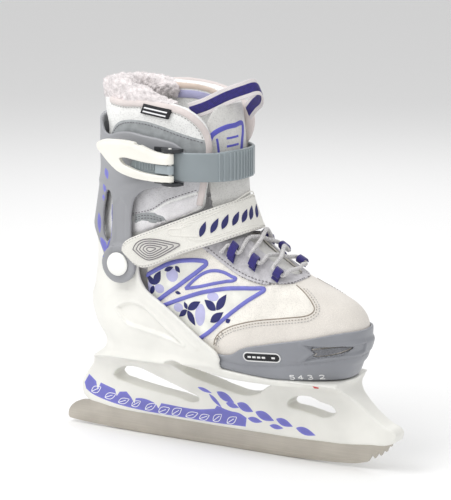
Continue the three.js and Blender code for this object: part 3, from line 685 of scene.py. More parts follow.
def on_surface(points, place, step, aside=0.0):
    """Places a path on a surface, shifted aside along it: points and normals."""
    found = [place(*spot) for spot in path(points, step)]
    spots = np.array([f[0] for f in found])
    normals = np.array([f[1] for f in found])
    if aside:
        apart = np.linalg.norm(np.diff(spots, axis=0), axis=1) > step * 0.2
        keep = np.append(True, apart)
        spots, normals = spots[keep], normals[keep]
        across = np.cross(np.gradient(spots, axis=0), normals)
        across *= aside / np.maximum(1e-6, np.linalg.norm(across, axis=1))[:, None]
        found = [place(*spot) for spot in spots + across]
        spots = np.array([f[0] for f in found])
        normals = np.array([f[1] for f in found])
    return spots, normals


def bead(name, points, place, radius, flat=0.6, lift=0.0, sides=10, closed=False):
    """Rounded cord, piping or raised line laid along a path on a surface."""
    if closed:
        points = list(points) + [points[0]]
    spots, normals = on_surface(points, place, 0.8)
    return smooth_shaded(tube(name, spots + normals * lift, radius, sides, flat, normals))


def stitches(name, points, place, length=1.7, gap=1.1, radius=0.33, lift=0.12, aside=0.0):
    """A row of stitches, each a short rounded thread."""
    spots, normals = on_surface(points, place, 0.3, aside)
    run = lengths(spots)
    points, faces = [], []
    start = 0.0
    while start + length < run[-1]:
        at = np.linspace(start, start + length, 5)
        line = sample(spots, run, at)
        up = sample(normals, run, at)
        arch = np.sin(np.linspace(0, math.pi, 5))[:, None]
        line = line + up * (lift + 0.15 * arch)
        p, f = tube_data(line, lambda t: radius * (0.55 + 0.45 * math.sin(math.pi * t)), 6, 0.8, up)
        faces += [tuple(k + len(points) for k in face) for face in f]
        points += p.tolist()
        start += length + gap
    return smooth_shaded(make(name, points, faces), 60)


def offset_path(points, distance):
    """The flat path shifted sideways."""
    p = np.asarray(points, float)
    along = np.gradient(p, axis=0)
    along /= np.linalg.norm(along, axis=1)[:, None]
    return p + distance * np.column_stack([-along[:, 1], along[:, 0]])


def dress(piece, body, material, replaces=()):
    """Gives a piece its material and its body, and hides the CAD parts it replaces."""
    piece.data.materials.clear()
    piece.data.materials.append(material)
    if body:
        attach(piece, body)
    if replaces:
        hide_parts(*replaces)
    return piece


# ---- finishes of this skate --------------------------------------------------------------------
SHELL_WHITE = plastic("shell_white", (232, 231, 225), 0.4)
CUFF_GREY = plastic("cuff_grey", (152, 153, 157), 0.46)
STRAP_GREY = plastic("strap_grey", (140, 149, 153), 0.45)
LEVER_WHITE = plastic("lever_white", (240, 238, 229), 0.32)
CAP_WHITE = plastic("cap_white", (243, 243, 238), 0.28)
BUCKLE_DARK = plastic("buckle_dark", (42, 44, 48), 0.42)
TOE_GREY = plastic("toe_grey", (140, 142, 148), 0.38)
PRINT_PURPLE = plastic("print_purple", (112, 112, 190), 0.5)
FRAME_PURPLE = plastic("frame_purple", (84, 84, 180), 0.5)
PRINT_WHITE = plastic("print_white", (236, 236, 240), 0.5)
DIGIT_WHITE = plastic("digit_white", (222, 222, 222), 0.5)
MARK_RED = plastic("mark_red", (200, 40, 50), 0.5)
STEEL = surface("rivet_steel", (190, 186, 180), 0.32, metallic=1.0, vary=0.05, patch=3,
                pattern="brushed", pitch=0.4, depth=0.02)
BLADE_STEEL = surface("blade_steel", (196, 190, 180), 0.42, metallic=0.85, vary=0.03, patch=30,
                      pattern="brushed", pitch=0.5, depth=0.03)
TOE_LEATHER = surface("toe_leather", (238, 232, 224), 0.5, vary=0.03, patch=30, grain=0.2,
                      pattern="leather", pitch=1.1, depth=0.05, coat=0.1)
STRAP_LEATHER = surface("strap_leather", (241, 239, 232), 0.52, vary=0.025, patch=30, grain=0.2,
                        pattern="leather", pitch=0.9, depth=0.04)
UPPER_FABRIC = surface("upper_fabric", (238, 234, 226), 0.8, sheen=0.2, vary=0.03,
                       pattern="mesh", pitch=0.9, depth=0.12)
WHITE_MESH = surface("white_mesh", (240, 240, 238), 0.85, sheen=0.2, vary=0.02,
                     pattern="mesh", pitch=1.3, depth=0.22)
PANEL_GREY = surface("panel_grey", (206, 205, 208), 0.85, sheen=0.2, vary=0.03,
                     pattern="mesh", pitch=1.1, depth=0.18)
TONGUE_MESH = surface("tongue_mesh", (212, 211, 208), 0.85, sheen=0.2, vary=0.03,
                      pattern="mesh", pitch=1.2, depth=0.2)
SUEDE_GREY = surface("suede_grey", (158, 162, 164), 0.95, sheen=0.5, vary=0.05, patch=5,
                     grain=0.5, grain_size=0.35)
LINING_PILE = surface("lining_pile", (226, 219, 219), 1.0, sheen=0.8, vary=0.08, patch=6,
                      pattern="pile", pitch=1.1, depth=0.5)
BINDING = surface("binding_beige", (221, 211, 208), 0.9, sheen=0.4, vary=0.03,
                  pattern="weave", pitch=0.5, depth=0.08)
LINING_WHITE = surface("lining_white", (236, 234, 236), 0.9, sheen=0.3, vary=0.03,
                       pattern="mesh", pitch=0.8, depth=0.1)
LINING_PEACH = surface("lining_peach", (232, 214, 200), 0.9, sheen=0.3, vary=0.03,
                       pattern="weave", pitch=0.6, depth=0.06)
LAVENDER = surface("lavender_print", (190, 189, 226), 0.8, vary=0.04, pattern="weave",
                   pitch=0.6, depth=0.05)
NAVY_PRINT = surface("navy_print", (36, 38, 100), 0.6, vary=0.08, pattern="weave",
                     pitch=0.6, depth=0.05)
RIB_PURPLE = surface("rib_purple", (112, 114, 194), 0.5, vary=0.05, patch=8, grain=0.2)
WEBBING_WHITE = surface("webbing_white", (226, 220, 220), 0.85, sheen=0.3, vary=0.03,
                        pattern="ribbed", pitch=0.9, depth=0.15)
WEBBING_NAVY = surface("webbing_navy", (38, 28, 112), 0.75, sheen=0.3, vary=0.12, patch=2,
                       pattern="ribbed", pitch=0.9, depth=0.18)
LACE_GREY = surface("lace_grey", (216, 214, 214), 0.85, sheen=0.3, vary=0.1, patch=1.2,
                    pattern="ribbed", pitch=1.0, depth=0.3)
EYESTAY_GREY = surface("eyestay_grey", (199, 197, 201), 0.85, sheen=0.3, vary=0.05, patch=4,
                       pattern="mesh", pitch=0.8, depth=0.12)
THREAD_DARK = surface("thread_dark", (110, 106, 112), 0.8, vary=0.1, patch=1)
THREAD_TAN = surface("thread_tan", (150, 140, 128), 0.8, vary=0.1, patch=1)
THREAD_PALE = surface("thread_pale", (176, 174, 172), 0.8, vary=0.1, patch=1)
TAG_BLACK = surface("tag_black", (30, 30, 34), 0.7, vary=0.1, pattern="weave", pitch=0.5,
                    depth=0.05)
FOAM = surface("footbed_foam", (214, 210, 206), 0.9, vary=0.04, grain=0.4, pattern="mesh",
               pitch=1.2, depth=0.15)


# ---- blade -------------------------------------------------------------------------------------
def make_blade():
    edge = [(-142.8, 2.6), (-128.9, 1.5), (-108.6, 0.8), (-88.0, 0.2), (-60, 0), (0, 0), (62, 0),
            (86.4, 0.9), (104.4, 2.0), (118.5, 3.6), (127.5, 6.2)]
    picks = [(131.0, 12.0), (133.2, 9.4), (136.4, 14.4), (138.2, 12.2), (141.0, 17.4),
             (142.6, 15.8), (144.9, 21.2), (146.6, 20.6), (147.0, 24.0), (141.0, 26.0)]
    heel = [(-117.0, 26.0), (-121.9, 20.8), (-130.8, 19.2), (-137.7, 16.0), (-143.7, 8.6),
            (-144.2, 5.0)]
    blade = prism("blade_steel_plate", outline(edge + picks + heel, 1.5, 38), -1.7, 1.7)
    bevelled(blade, 0.35, 2, 50)
    dress(blade, "chassis", BLADE_STEEL, ["blade"])
    low = [(x, z + 3.2) for x, z in edge[1:-1]]
    for side, label in SIDE_NAMES.items():
        place = Target(blade).side(side)
        line = bead(f"blade_hollow_line_{label}", low, place, 0.35, 0.3)
        dress(line, "chassis", BLADE_STEEL)


SIDE_NAMES = {LATERAL: "lateral", MEDIAL: "medial"}
PIVOT = (-69, 145)

# ---- holder and heel shell, one moulding -------------------------------------------------------
HOLDER = [(-121.0, 22.0), (-112.4, 20.4), (-102.4, 18.6), (-92.3, 17.6), (-54.8, 17.0),
          (-10.6, 16.4), (39.6, 16.4), (64.1, 16.4), (88.3, 17.2), (112.1, 18.2), (129.6, 20.5),
          (146.5, 22.8), (152.2, 26.0), (153.6, 31.0), (151.0, 34.2), (144.5, 36.8),
          (135.4, 42.6), (122.8, 53.0), (112.6, 63.2), (110.4, 72.0), (-98.0, 81.0),
          (-101.6, 73.5), (-107.0, 64.5), (-113.9, 54.5), (-121.6, 44.6), (-126.0, 36.9),
          (-126.0, 28.0)]
REAR_WINDOW = [(-95.4, 46.7), (-93.0, 50.2), (-86.9, 54.1), (-78.5, 56.3), (-68.9, 55.9),
               (-59.5, 52.5), (-47.6, 48.3), (-35.9, 44.7), (-24.3, 40.6), (-17.3, 37.9),
               (-16.4, 35.4), (-19.7, 34.0), (-35.9, 35.9), (-59.6, 38.4), (-83.4, 42.0),
               (-93.1, 44.4)]
MIDDLE_WINDOW = [(-31.8, 66.5), (-29.6, 60.5), (-21.9, 55.3), (-7.0, 51.6), (10.2, 47.8),
                 (21.5, 45.9), (29.4, 46.3), (36.8, 48.9), (43.0, 53.6), (52.0, 60.0),
                 (55.0, 63.4), (41.0, 64.4), (27.2, 65.4), (13.8, 67.1), (1.3, 69.1),
                 (-10.1, 71.2), (-21.6, 73.4), (-29.0, 72.0)]
FRONT_WINDOW = [(61.0, 43.8), (65.8, 48.9), (73.1, 51.8), (81.5, 52.4), (91.0, 49.1),
                (101.7, 45.7), (103.5, 43.2), (100.6, 40.0), (93.5, 37.4), (84.0, 38.8),
                (73.2, 40.6), (62.3, 42.4)]
FLARE = [(5.2, 15), (7.0, 24), (8.2, 36), (8.8, 46), (10.6, 54), (16.0, 60.5), (26.0, 66),
         (38.0, 70), (43.5, 76), (44.0, 84)]
SOLE_TOP = [(-12, 79), (23, 73), (61, 68.5), (116, 68.5)]
HEEL_EDGE = [(16, 68), (21.8, 72.3), (21.2, 79.2), (18.4, 85.8), (4.0, 95.0), (-13.0, 105.9),
             (-27.8, 114.4), (-39.1, 120.3), (-46.5, 124.8), (-51.5, 130.7), (-54.0, 138.0),
             (-55.0, 150.0)]
LEAF = [(-76.3, 108.4), (-70.4, 112.1), (-59.9, 114.8), (-49.5, 113.0), (-40.3, 108.0),
        (-28.9, 100.3), (-17.5, 93.7), (-9.6, 88.2), (-31.2, 93.0), (-52.0, 95.6),
        (-65.9, 98.0), (-71.7, 103.4)]


def sole_limit():
    """Plan limit of the holder: wide at the blade, the boot's own shape under the sole."""
    offsets = [(10, 60), (58, 42), (62, 27), (65, 19), (68, 13), (71, 9.5), (75, 7), (79, 5.7),
               (84, 5.7)]
    heights = np.linspace(10, 84, 38)
    z, offset = np.array(offsets, float).T
    rings = []
    for height in heights:
        points = ring(max(60, height), np.interp(height, z, offset))
        points[:, 2] = height
        rings.append(points)
    return make("limit", *loft_data(rings))


def make_shell():
    flare = np.array(FLARE)
    profile = np.vstack([flare, flare[::-1] * (-1, 1)])
    shell = prism("skate_shell", outline(HOLDER, 1.5), -44, 44)
    region = [(-130, 10), (160, 10), (160, 40), (116, 66), *SOLE_TOP[::-1], (-130, 79)]
    within(shell, prism("flare", outline(profile, 2.0, 60), -135, 165, "yz"), sole_limit(),
           prism("region", region, -60, 60))
    plate = form_solid("sole", 5.7, 60, 82)
    sides = [(-125, 70.5), (-101, 70.5), (-31, 73.5), (-21.6, 73.4), (-10.1, 71.2), (1.3, 69.1),
             (13.8, 67.1), (27.2, 65.4), (54.2, 63.9), (110, 62.5), (116, 66), *SOLE_TOP[::-1],
             (-125, 79)]
    within(plate, prism("sides", sides, -60, 60))
    wall = trim(skin("heel_wall", 3.3, 5.8, 64, 160),
                [(-125, 66), (-12, 70), *HEEL_EDGE, (-62.0, 157.5), (-76.0, 158.5),
                 (-90.0, 161.0), (-106, 164.0), (-125, 165.0)])
    tab = within(skin("tab", 3.3, 5.7, 88, 180),
                 prism("tab_side", outline([(-44, 104), (-8, 90), (-8, 108), (-17, 140),
                                            (-21, 166), (-25, 171), (-34, 171), (-38, 165),
                                            (-41, 130)], 1.5, 60), 5, 60))
    parts = [plate, wall, tab]
    for side in (LATERAL, MEDIAL):
        boss = cylinder("boss", *PIVOT, 13, *sorted((side * 30, side * 37)))
        parts.append(boss)
        rim = np.array([(x, side_y(x, z, 4.9, side), z)
                        for x, z in path(HEEL_EDGE[2:], 1.5)])
        parts.append(tube("rim", rim, 1.9, 12))
        spine = np.array([(x, side_y(x, z, 4.4, side), z)
                          for x, z in path([(-66, 157), (-80, 158.4), (-97, 161.4)], 1.5)])
        parts.append(tube("top_rim", spine, 1.5, 12))
    join(shell, *parts)
    mould(shell, 0.9, 1)
    windows = [prism("window", outline(w), -60, 60)
               for w in (REAR_WINDOW, MIDDLE_WINDOW, FRONT_WINDOW)]
    slot = prism("slot", [(-136, 5), (149, 5), (149, 26.6), (-136, 26.6)], -2.0, 2.0)
    cut(shell, *windows, slot, cylinder("bore", *PIVOT, 3.7, -60, 60))
    for side in (LATERAL, MEDIAL):
        cut(shell, cylinder("well", *PIVOT, 7.6, *sorted((side * 15, side * 30.9))))
    mould(shell, 0.85, 7)
    leaf = outline(LEAF, 1.5, 70)
    crest = path([(-89.2, 112.5), (-80.9, 118.5), (-69.1, 122.3), (-56.3, 121.2),
                  (-46.0, 117.4), (-33.4, 110.8), (-18, 101), (2, 88)], 2)

    def lift(co, normals):
        out = np.zeros(len(co))
        flat = co[:, (0, 2)]
        near = (np.abs(co[:, 1]) > 20) & (co[:, 2] > 80) & (co[:, 2] < 130) & (co[:, 0] < 10)
        near &= normals[:, 1] * np.sign(co[:, 1]) > 0.25
        if near.any():
            depth = inside_depth(flat[near], leaf)
            dent = -1.9 * smooth(depth / 2.2)
            lip = 0.9 * np.exp(-((depth + 0.6) / 1.1) ** 2)
            gap = np.min(np.linalg.norm(flat[near][:, None] - crest[None], axis=2), axis=1)
            out[near] = dent + lip + 0.7 * np.exp(-(gap / 2.2) ** 2)
        return out

    relieve(shell, lift)
    dress(shell, "chassis", SHELL_WHITE, ["shell_frame"])
    target = Target(shell)
    for side in (LATERAL, MEDIAL):
        holder_print(target.side(side), side)
    mark = [(92.0, 63.4), (92.6, 66.0), (96.0, 64.4), (94.8, 63.0)]
    dress(patch("size_mark_lateral", outline(mark, 0.6), target.side(LATERAL), 0.15, spacing=1),
          "chassis", MARK_RED)


def petal(a, b, length, width, angle, bend=0.0):
    """Outline of a pointed petal that starts at a, b."""
    t = np.linspace(0, 1, 15)
    half = width / 2 * np.sin(math.pi * t ** 0.85)
    middle = bend * np.sin(math.pi * t)
    shape = np.vstack([np.column_stack([t * length, middle + half]),
                       np.column_stack([t * length, middle - half])[::-1][1:-1]])
    c, s = math.cos(angle), math.sin(angle)
    return shape @ np.array([[c, s], [-s, c]]) + (a, b)


def holder_print(place, side):
    """Purple leaf border along the holder's lower edge, and loose leaves ahead of it."""
    label = SIDE_NAMES[side]
    border = [(-118.5, 44.0), (-123.2, 36.5), (-122.2, 31.2), (-117.7, 28.2), (-108.1, 24.9),
              (-97.4, 22.6), (-67.9, 19.8), (-36.8, 19.4), (-0.2, 19.2), (24.5, 20.0),
              (26.0, 27.4), (19.7, 30.4), (11.8, 31.0), (-0.2, 33.8), (-2.2, 30.9),
              (-16.4, 28.4), (-51.2, 28.6), (-54.3, 23.6), (-56.4, 27.0), (-61.6, 29.2),
              (-72.0, 30.0), (-75.1, 29.4), (-76.6, 24.4), (-79.3, 29.3), (-83.5, 33.9),
              (-89.9, 32.9), (-93.1, 28.8), (-94.4, 34.4), (-105.7, 37.6), (-107.6, 38.2),
              (-111.2, 31.5), (-112.1, 38.8)]
    dress(patch(f"holder_border_{label}", outline(border, 0.9, 40), place, 0.1), "chassis",
          PRINT_PURPLE)
    leaves = [(-17, 46.6, 13, 3.0, -0.25), (-7, 42.5, 15, 3.2, -0.72), (0, 45.2, 17, 6.4, -0.42),
              (18, 38.4, 15, 6.8, -0.35), (8, 37.2, 12, 4.4, -0.2), (34, 33.6, 17, 7.0, -0.3),
              (27, 27.4, 13, 4.6, -0.1), (52, 30.4, 15, 6.0, -0.28), (46, 24.2, 12, 4.0, -0.05),
              (69, 25.6, 17, 6.2, -0.22)]
    for k, (a, b, length, width, angle) in enumerate(leaves):
        leaf = patch(f"holder_leaf_{label}_{k + 1}", petal(a, b, length, width, angle), place,
                     0.1, spacing=1.4)
        dress(leaf, "chassis", PRINT_PURPLE)
    rng = random.Random(7)
    lines = []
    for k in range(11):                # pale outlines of leaves across the border
        a = -117 + 12.5 * k
        b = np.interp(a, (-117, -97, -60, 20), (29.5, 24, 20.5, 20.5))
        angle = rng.uniform(0.35, 0.75)
        leaf = petal(a, b, rng.uniform(10, 13), rng.uniform(4.6, 5.8), angle)
        rib = [(a, b), (a + 8 * math.cos(angle), b + 8 * math.sin(angle))]
        lines.append(bead(f"vein_{label}_{k}", leaf, place, 0.28, 0.4, 0.1, 6, closed=True))
        lines.append(bead(f"rib_{label}_{k}", rib, place, 0.28, 0.4, 0.1, 6))
    dress(join(*lines), "chassis", PRINT_WHITE).name = f"holder_veins_{label}"


# ---- ankle pivots ------------------------------------------------------------------------------
def make_pivots():
    for side, label in SIDE_NAMES.items():
        radius = np.array([0.001, 3, 5.8, 7.6, 8.7, 9.1, 9.2, 9.1, 0.001])
        height = np.array([44.0, 43.95, 43.7, 43.3, 42.9, 42.5, 42.1, 41.75, 41.75])
        angle = -side * np.arange(72) * 2 * math.pi / 72
        rings = [np.column_stack([PIVOT[0] + r * np.cos(angle), np.full(72, side * y),
                                  PIVOT[1] + r * np.sin(angle)]) for r, y in zip(radius, height)]
        cap = make(f"pivot_cap_cover_{label}", *loft_data(rings[::-1]))
        fix_normals(cap)
        dress(smooth_shaded(cap, 40), "chassis", CAP_WHITE, [f"pivot_cap_{label}"])


# ---- cuff --------------------------------------------------------------------------------------
CUFF_SIDE = [(-125, 182), (-113, 176), (-101.8, 168.6), (-92.6, 158.6), (-86.6, 149),
             (-83.6, 142), (-80.2, 136.6), (-75.6, 133.0), (-69, 131), (-61, 133), (-56.6, 138),
             (-54.8, 146), (-56.5, 160), (-58.2, 175), (-57.6, 188), (-54.6, 197), (-49.1, 202),
             (-39.9, 205.6), (-28, 208.6), (-16.5, 210.6), (-10.5, 213), (-9.5, 222),
             (-10.5, 235), (-17, 241), (-29.3, 244.3), (-44.5, 246.2), (-60, 248),
             (-72, 246.4), (-80, 244), (-88, 246), (-93, 251), (-99, 256), (-125, 256)]
CUFF_WINDOW = [(-84.6, 199), (-86.6, 192), (-88.2, 182), (-88.2, 172), (-85.9, 164),
               (-82.9, 160.5), (-79.9, 162), (-77.8, 172), (-78.0, 184), (-79.8, 198),
               (-82.0, 200.5)]


def make_cuff():
    cuff = skin("ankle_cuff", 7.0, 9.7, 126, 258)
    cuff.data.transform(Matrix.Translation((-0.8 * MM, 0, 0)))
    trim(cuff, CUFF_SIDE)
    for side in (LATERAL, MEDIAL):
        seat = cylinder("seat", *PIVOT, 14.4, *sorted((side * 28.4, side * 47)))
        cut(cuff, seat)
    cut(cuff, prism("window", outline(CUFF_WINDOW, 1.2, 180), -60, 60),
        prism("front", [(9, 120), (80, 120), (80, 270), (9, 270)], -60, 60))
    bosses = [cylinder("boss", *PIVOT, 15.2, *sorted((side * 37.4, side * 41.2)))
              for side in (LATERAL, MEDIAL)]
    join(cuff, *bosses)
    mould(cuff, 0.8, 1)
    cut(cuff, cylinder("bore", *PIVOT, 3.75, -60, 60))
    for x, z, side in ((-29, 217, -1), (-29, 233, -1), (-52, 218, 1), (-52, 232, 1)):
        cut(cuff, cylinder("hole", x, z, 1.9, *sorted((side * 20, side * 60)), 24))
    mould(cuff, 0.75, 5)
    band_line = path([(-96, 206), (-80, 205), (-66, 206), (-52, 209.5), (-36, 213.5),
                      (-12, 216)], 2)
    arm = outline([(-78, 150), (-60.5, 150), (-61.8, 176), (-61.5, 192), (-70, 198),
                   (-77.5, 190), (-75.5, 172)], 2)

    def lift(co, normals):
        flat = co[:, (0, 2)]
        outward = normals[:, 1] * np.sign(co[:, 1]) > 0.2
        ridge = np.min(np.linalg.norm(flat[:, None] - band_line[None], axis=2), axis=1)
        under = np.exp(-(ridge / 3.2) ** 2) * 0.8
        dish = -0.9 * smooth(inside_depth(flat, arm) / 3.5)
        back = (co[:, 0] < -84) & (normals[:, 0] < -0.3)
        keel = np.where(back, 1.6 * np.exp(-(co[:, 1] / 9) ** 2), 0)
        return np.where(outward, under + dish, 0) + keel

    relieve(cuff, lift)
    dress(cuff, "cuff", CUFF_GREY, ["cuff_shell"])
    target = Target(cuff)
    for side, label in SIDE_NAMES.items():
        place = target.side(side)
        prints = {"spot_high": petal(-86, 217, 9, 5, -1.2),
                  "spot_middle": petal(-88, 204.5, 8, 4.2, -1.3),
                  "spot_low": petal(-89, 196, 5, 3, -1.35),
                  "leaf_low": petal(-94.5, 181, 16, 5.4, -1.4),
                  "leaf_foot": petal(-90.5, 162.5, 16, 6.0, -1.0, 0.8)}
        for name, shape in prints.items():
            dress(patch(f"cuff_{name}_{label}", shape, place, 0.1, spacing=1.2), "cuff",
                  PRINT_PURPLE)
        rim = bead(f"cuff_window_line_{label}",
                   [(-80.0, 190), (-78.2, 178), (-78.4, 168), (-81.5, 157), (-85.5, 150.5)],
                   place, 0.9, 0.4)
        dress(rim, "cuff", PRINT_PURPLE)


# ---- fabric collar -----------------------------------------------------------------------------
COLLAR_LOWER = [(-120, 150), (-97, 150), (-84, 160), (-60, 166), (-30, 179.5), (-9, 188),
                (-1.5, 192), (1.5, 206), (4.5, 220)]
COLLAR_SIDE = COLLAR_LOWER + [(6.5, 236), (5, 247), (0, 257), (-9, 264), (-22, 268.5),
                              (-46, 271.5), (-64, 271.5), (-80, 271.5), (-120, 272.5)]
COLLAR_MEDIAL = COLLAR_LOWER + [(7, 236), (8, 249), (5.6, 260), (-1, 268.5), (-14, 275.5),
                                (-30, 279.0), (-50, 280.5), (-66, 280.5), (-80, 276),
                                (-120, 276)]
PILE_SIDE = [(-120, 269.5), (-82, 269.5), (-66, 267.8), (-50, 268.4), (-34, 268), (-20, 267.4),
             (-10, 264.5), (-12, 266.5), (-22, 269.5), (-34, 272), (-46, 275.5), (-58, 280),
             (-70, 283.6), (-82, 285.2), (-120, 285.2)]
BINDING_LINE = [(-80.9, 270.0), (-67, 268.8), (-55, 269.6), (-43, 269.4), (-32.4, 268.6),
                (-20.6, 267.2), (-10.5, 263.4), (-2.6, 257.0), (2.4, 248.4), (4.2, 237),
                (2.6, 223), (0, 208), (-2.5, 195)]
BINDING_MEDIAL = [(-78, 275.8), (-68, 278.6), (-58, 279.7), (-46, 279.8), (-30, 278.2),
                  (-14, 274.6), (-2, 267.6), (4.0, 259.4), (6.0, 249), (5.2, 237), (2.6, 223),
                  (0, 208), (-2.5, 195)]


def collar_bulge(z):
    return 5.5 * float(smooth((z - 246) / 16) * (1 - smooth((z - 276) / 14)))


def make_collar():
    halves = []
    for low, high, shape in ((-70, 0.5, COLLAR_SIDE), (-0.5, 70, COLLAR_MEDIAL)):
        half = skin("collar_fabric", lambda z: -4.6 - 0.3 * collar_bulge(z),
                    lambda z: 2.7 + smooth((z - 163) / 8) + 0.3 * collar_bulge(z), 148, 284)
        trim(half, shape, low, high)
        mouth = prism("mouth", [(-14, 140), (60, 140), (60, 300), (-14, 300)], -25, 25)
        halves.append(cut(half, mouth))
    collar = join(*halves)
    mould(collar, 0.9, 5)
    dress(collar, None, WHITE_MESH, ["collar"])
    outside = Target(collar)

    pile = skin("collar_pile", lambda z: -10 - 4 * math.sin((z - 265) / 21 * math.pi),
                lambda z: 3.6 + 2.2 * math.sin(min(1, max(0, (z - 265) / 21)) * math.pi) ** 0.6,
                265, 285.5)
    trim(pile, PILE_SIDE)
    cut(pile, prism("mouth", [(-12, 240), (60, 240), (60, 300), (-12, 300)], -60, 60),
        prism("medial_end", [(-56, 240), (60, 240), (60, 300), (-50, 300)], 0, 70),
        prism("lateral_end", [(-30, 240), (60, 240), (60, 300), (-24, 300)], -70, 0))
    mould(pile, 1.1, 14)
    pile.modifiers.new("finer", "SUBSURF").levels = 1
    bake(pile)
    rng = np.random.default_rng(5)
    field = [(rng.normal(size=3) * f, rng.uniform(0, 6.28), a)
             for f, a in [(0.25, 0.5)] * 7 + [(0.8, 0.22)] * 14 + [(2.0, 0.1)] * 20]

    def fluff(co, normals):
        total = np.zeros(len(co))
        for wave, start, amount in field:
            total += amount * np.sin(co @ wave + start)
        return total * 0.55 + 0.2

    relieve(pile, fluff)
    dress(pile, "cuff", LINING_PILE)
    make_fibres(pile)

    for side, label in SIDE_NAMES.items():
        place = outside.side(side)
        line = BINDING_LINE if side == LATERAL else BINDING_MEDIAL
        binding = bead(f"collar_binding_{label}", line, place, 2.6, 0.7, 0.1, 16)
        dress(binding, None, BINDING)
        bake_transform(binding)
        seam = stitches(f"collar_binding_stitch_{label}", offset_path(line, -3.4), place)
        dress(seam, None, THREAD_PALE)
        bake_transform(seam)
        suede = [(-86, 236), (-84, 243), (-79.6, 249), (-72.9, 253.6), (-63, 256.2),
                 (-54.1, 256.6), (-44, 255.9), (-33, 253.6), (-20.3, 250), (-8, 246.6),
                 (4.0, 243.6), (5.2, 236), (4.4, 231), (-30, 231), (-86, 231)]
        cover = patch(f"collar_patch_{label}", outline(suede, 1.2, 40), place, 0.2, 0.7, 1.2)
        dress(cover, "cuff", SUEDE_GREY)
        edge = [(-83.5, 239), (-81.6, 243.4), (-77.8, 247.5), (-71.8, 251.7), (-62.8, 254.2),
                (-54.1, 254.6), (-44.4, 253.9), (-33.4, 251.7), (-20.8, 248.2), (-8.4, 244.8),
                (2.6, 242)]
        dress(stitches(f"collar_patch_stitch_{label}", edge, Target(cover).side(side)), "cuff",
              THREAD_DARK)
        panels(place, label)
    tag = [(-46.5, 270.0), (-22.5, 266.6), (-25.5, 259.4), (-49.5, 262.6)]
    label = patch("collar_tag", outline(tag, 1.0, 40), outside.side(LATERAL), 2.0, 0.3, 0.6)
    dress(label, "cuff", TAG_BLACK)
    bars = [patch(f"tag_bar_{k}", outline([(-45.6 - k * 1.2, 267.6 - k * 2.8),
                                           (-25.6 - k * 1.2, 264.8 - k * 2.8),
                                           (-26.1 - k * 1.2, 263.8 - k * 2.8),
                                           (-46.1 - k * 1.2, 266.6 - k * 2.8)], 1.0),
                  Target(label).side(LATERAL), 0.1, spacing=1, sink=0.1) for k in range(2)]
    dress(join(*bars), "cuff", PRINT_WHITE).name = "collar_tag_bars"
    roll = path([(-1, 25.0, 270), (5.0, 24.6, 265), (8.6, 24.4, 258), (8.8, 24.8, 250),
                 (6.6, 25.6, 242), (3.4, 26.2, 236)], 1.2)
    puff = tube("collar_front_roll", roll, lambda t: 2.4 + 2.6 * math.sin(math.pi * t) ** 0.7,
                20)
    dress(smooth_shaded(puff), "cuff", BINDING)
    inner = outside.side(MEDIAL, inner=True)
    band = [(-56, 273.6), (-36, 273.6), (-20, 270.6), (-5, 264), (-4, 258), (-20, 265),
            (-36, 267.6), (-56, 267.6)]
    dress(patch("lining_band", outline(band, 1.2), inner, 0.3, 0.4, 1), "cuff", LAVENDER)
    top = [(-56, 279.6), (-36, 278.8), (-20, 276.0), (-6, 270), (-5, 265.4), (-20, 272),
           (-36, 275.0), (-56, 275.0)]
    dress(patch("lining_top", outline(top, 1.2), inner, 0.3, 0.4, 1), "cuff", LINING_PEACH)
    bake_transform(collar)


def panels(place, label):
    """Panels of the collar below the cuff strap: a grey one, a pale one, and a padded roll."""
    lower = [(-62, 169), (-50, 171), (-36, 177), (-20, 184.5), (-9.5, 189.5), (-3.5, 193.5),
             (-3, 203.4), (-15, 199.2), (-30, 193.4), (-42.5, 185.6), (-60, 178)]
    upper = [(-62, 182), (-42.5, 187.6), (-30, 195.4), (-15, 201.2), (-1.5, 206),
             (2.2, 222), (3.6, 231), (-62, 231)]
    seam = [(-60, 184), (-42.5, 189), (-30, 196.8), (-15, 202.6), (-2, 207.4)]
    gusset = [(-58, 183), (-46.2, 186), (-30.6, 184), (-28, 181.5), (-39.6, 178.2),
              (-50.8, 178.7), (-58, 176)]
    parts = [(patch(f"collar_lower_panel_{label}", outline(lower, 1.2, 40), place, 0.2, 0.8,
                    1.4), LINING_WHITE),
             (patch(f"collar_upper_panel_{label}", outline(upper, 1.2, 40), place, 0.15, 0.4,
                    1.0), PANEL_GREY),
             (stitches(f"collar_panel_stitch_{label}", seam, place, lift=0.6), THREAD_DARK),
             (patch(f"collar_gusset_{label}", outline(gusset, 1.2), place, 0.6, 0.9, 1.2),
              SUEDE_GREY)]
    rows = [stitches(f"gusset_stitch_{label}_{k}",
                     [(-56.5, 181.4 - k * 1.6), (-46, 184.2 - k * 2.2), (-32, 182.4 - k * 1.4)],
                     place, lift=1.7) for k in range(2)]
    parts.append((join(*rows), THREAD_DARK))
    rows[0].name = f"collar_gusset_stitch_{label}"
    for piece, material in parts:
        dress(piece, None, material)
        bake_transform(piece)


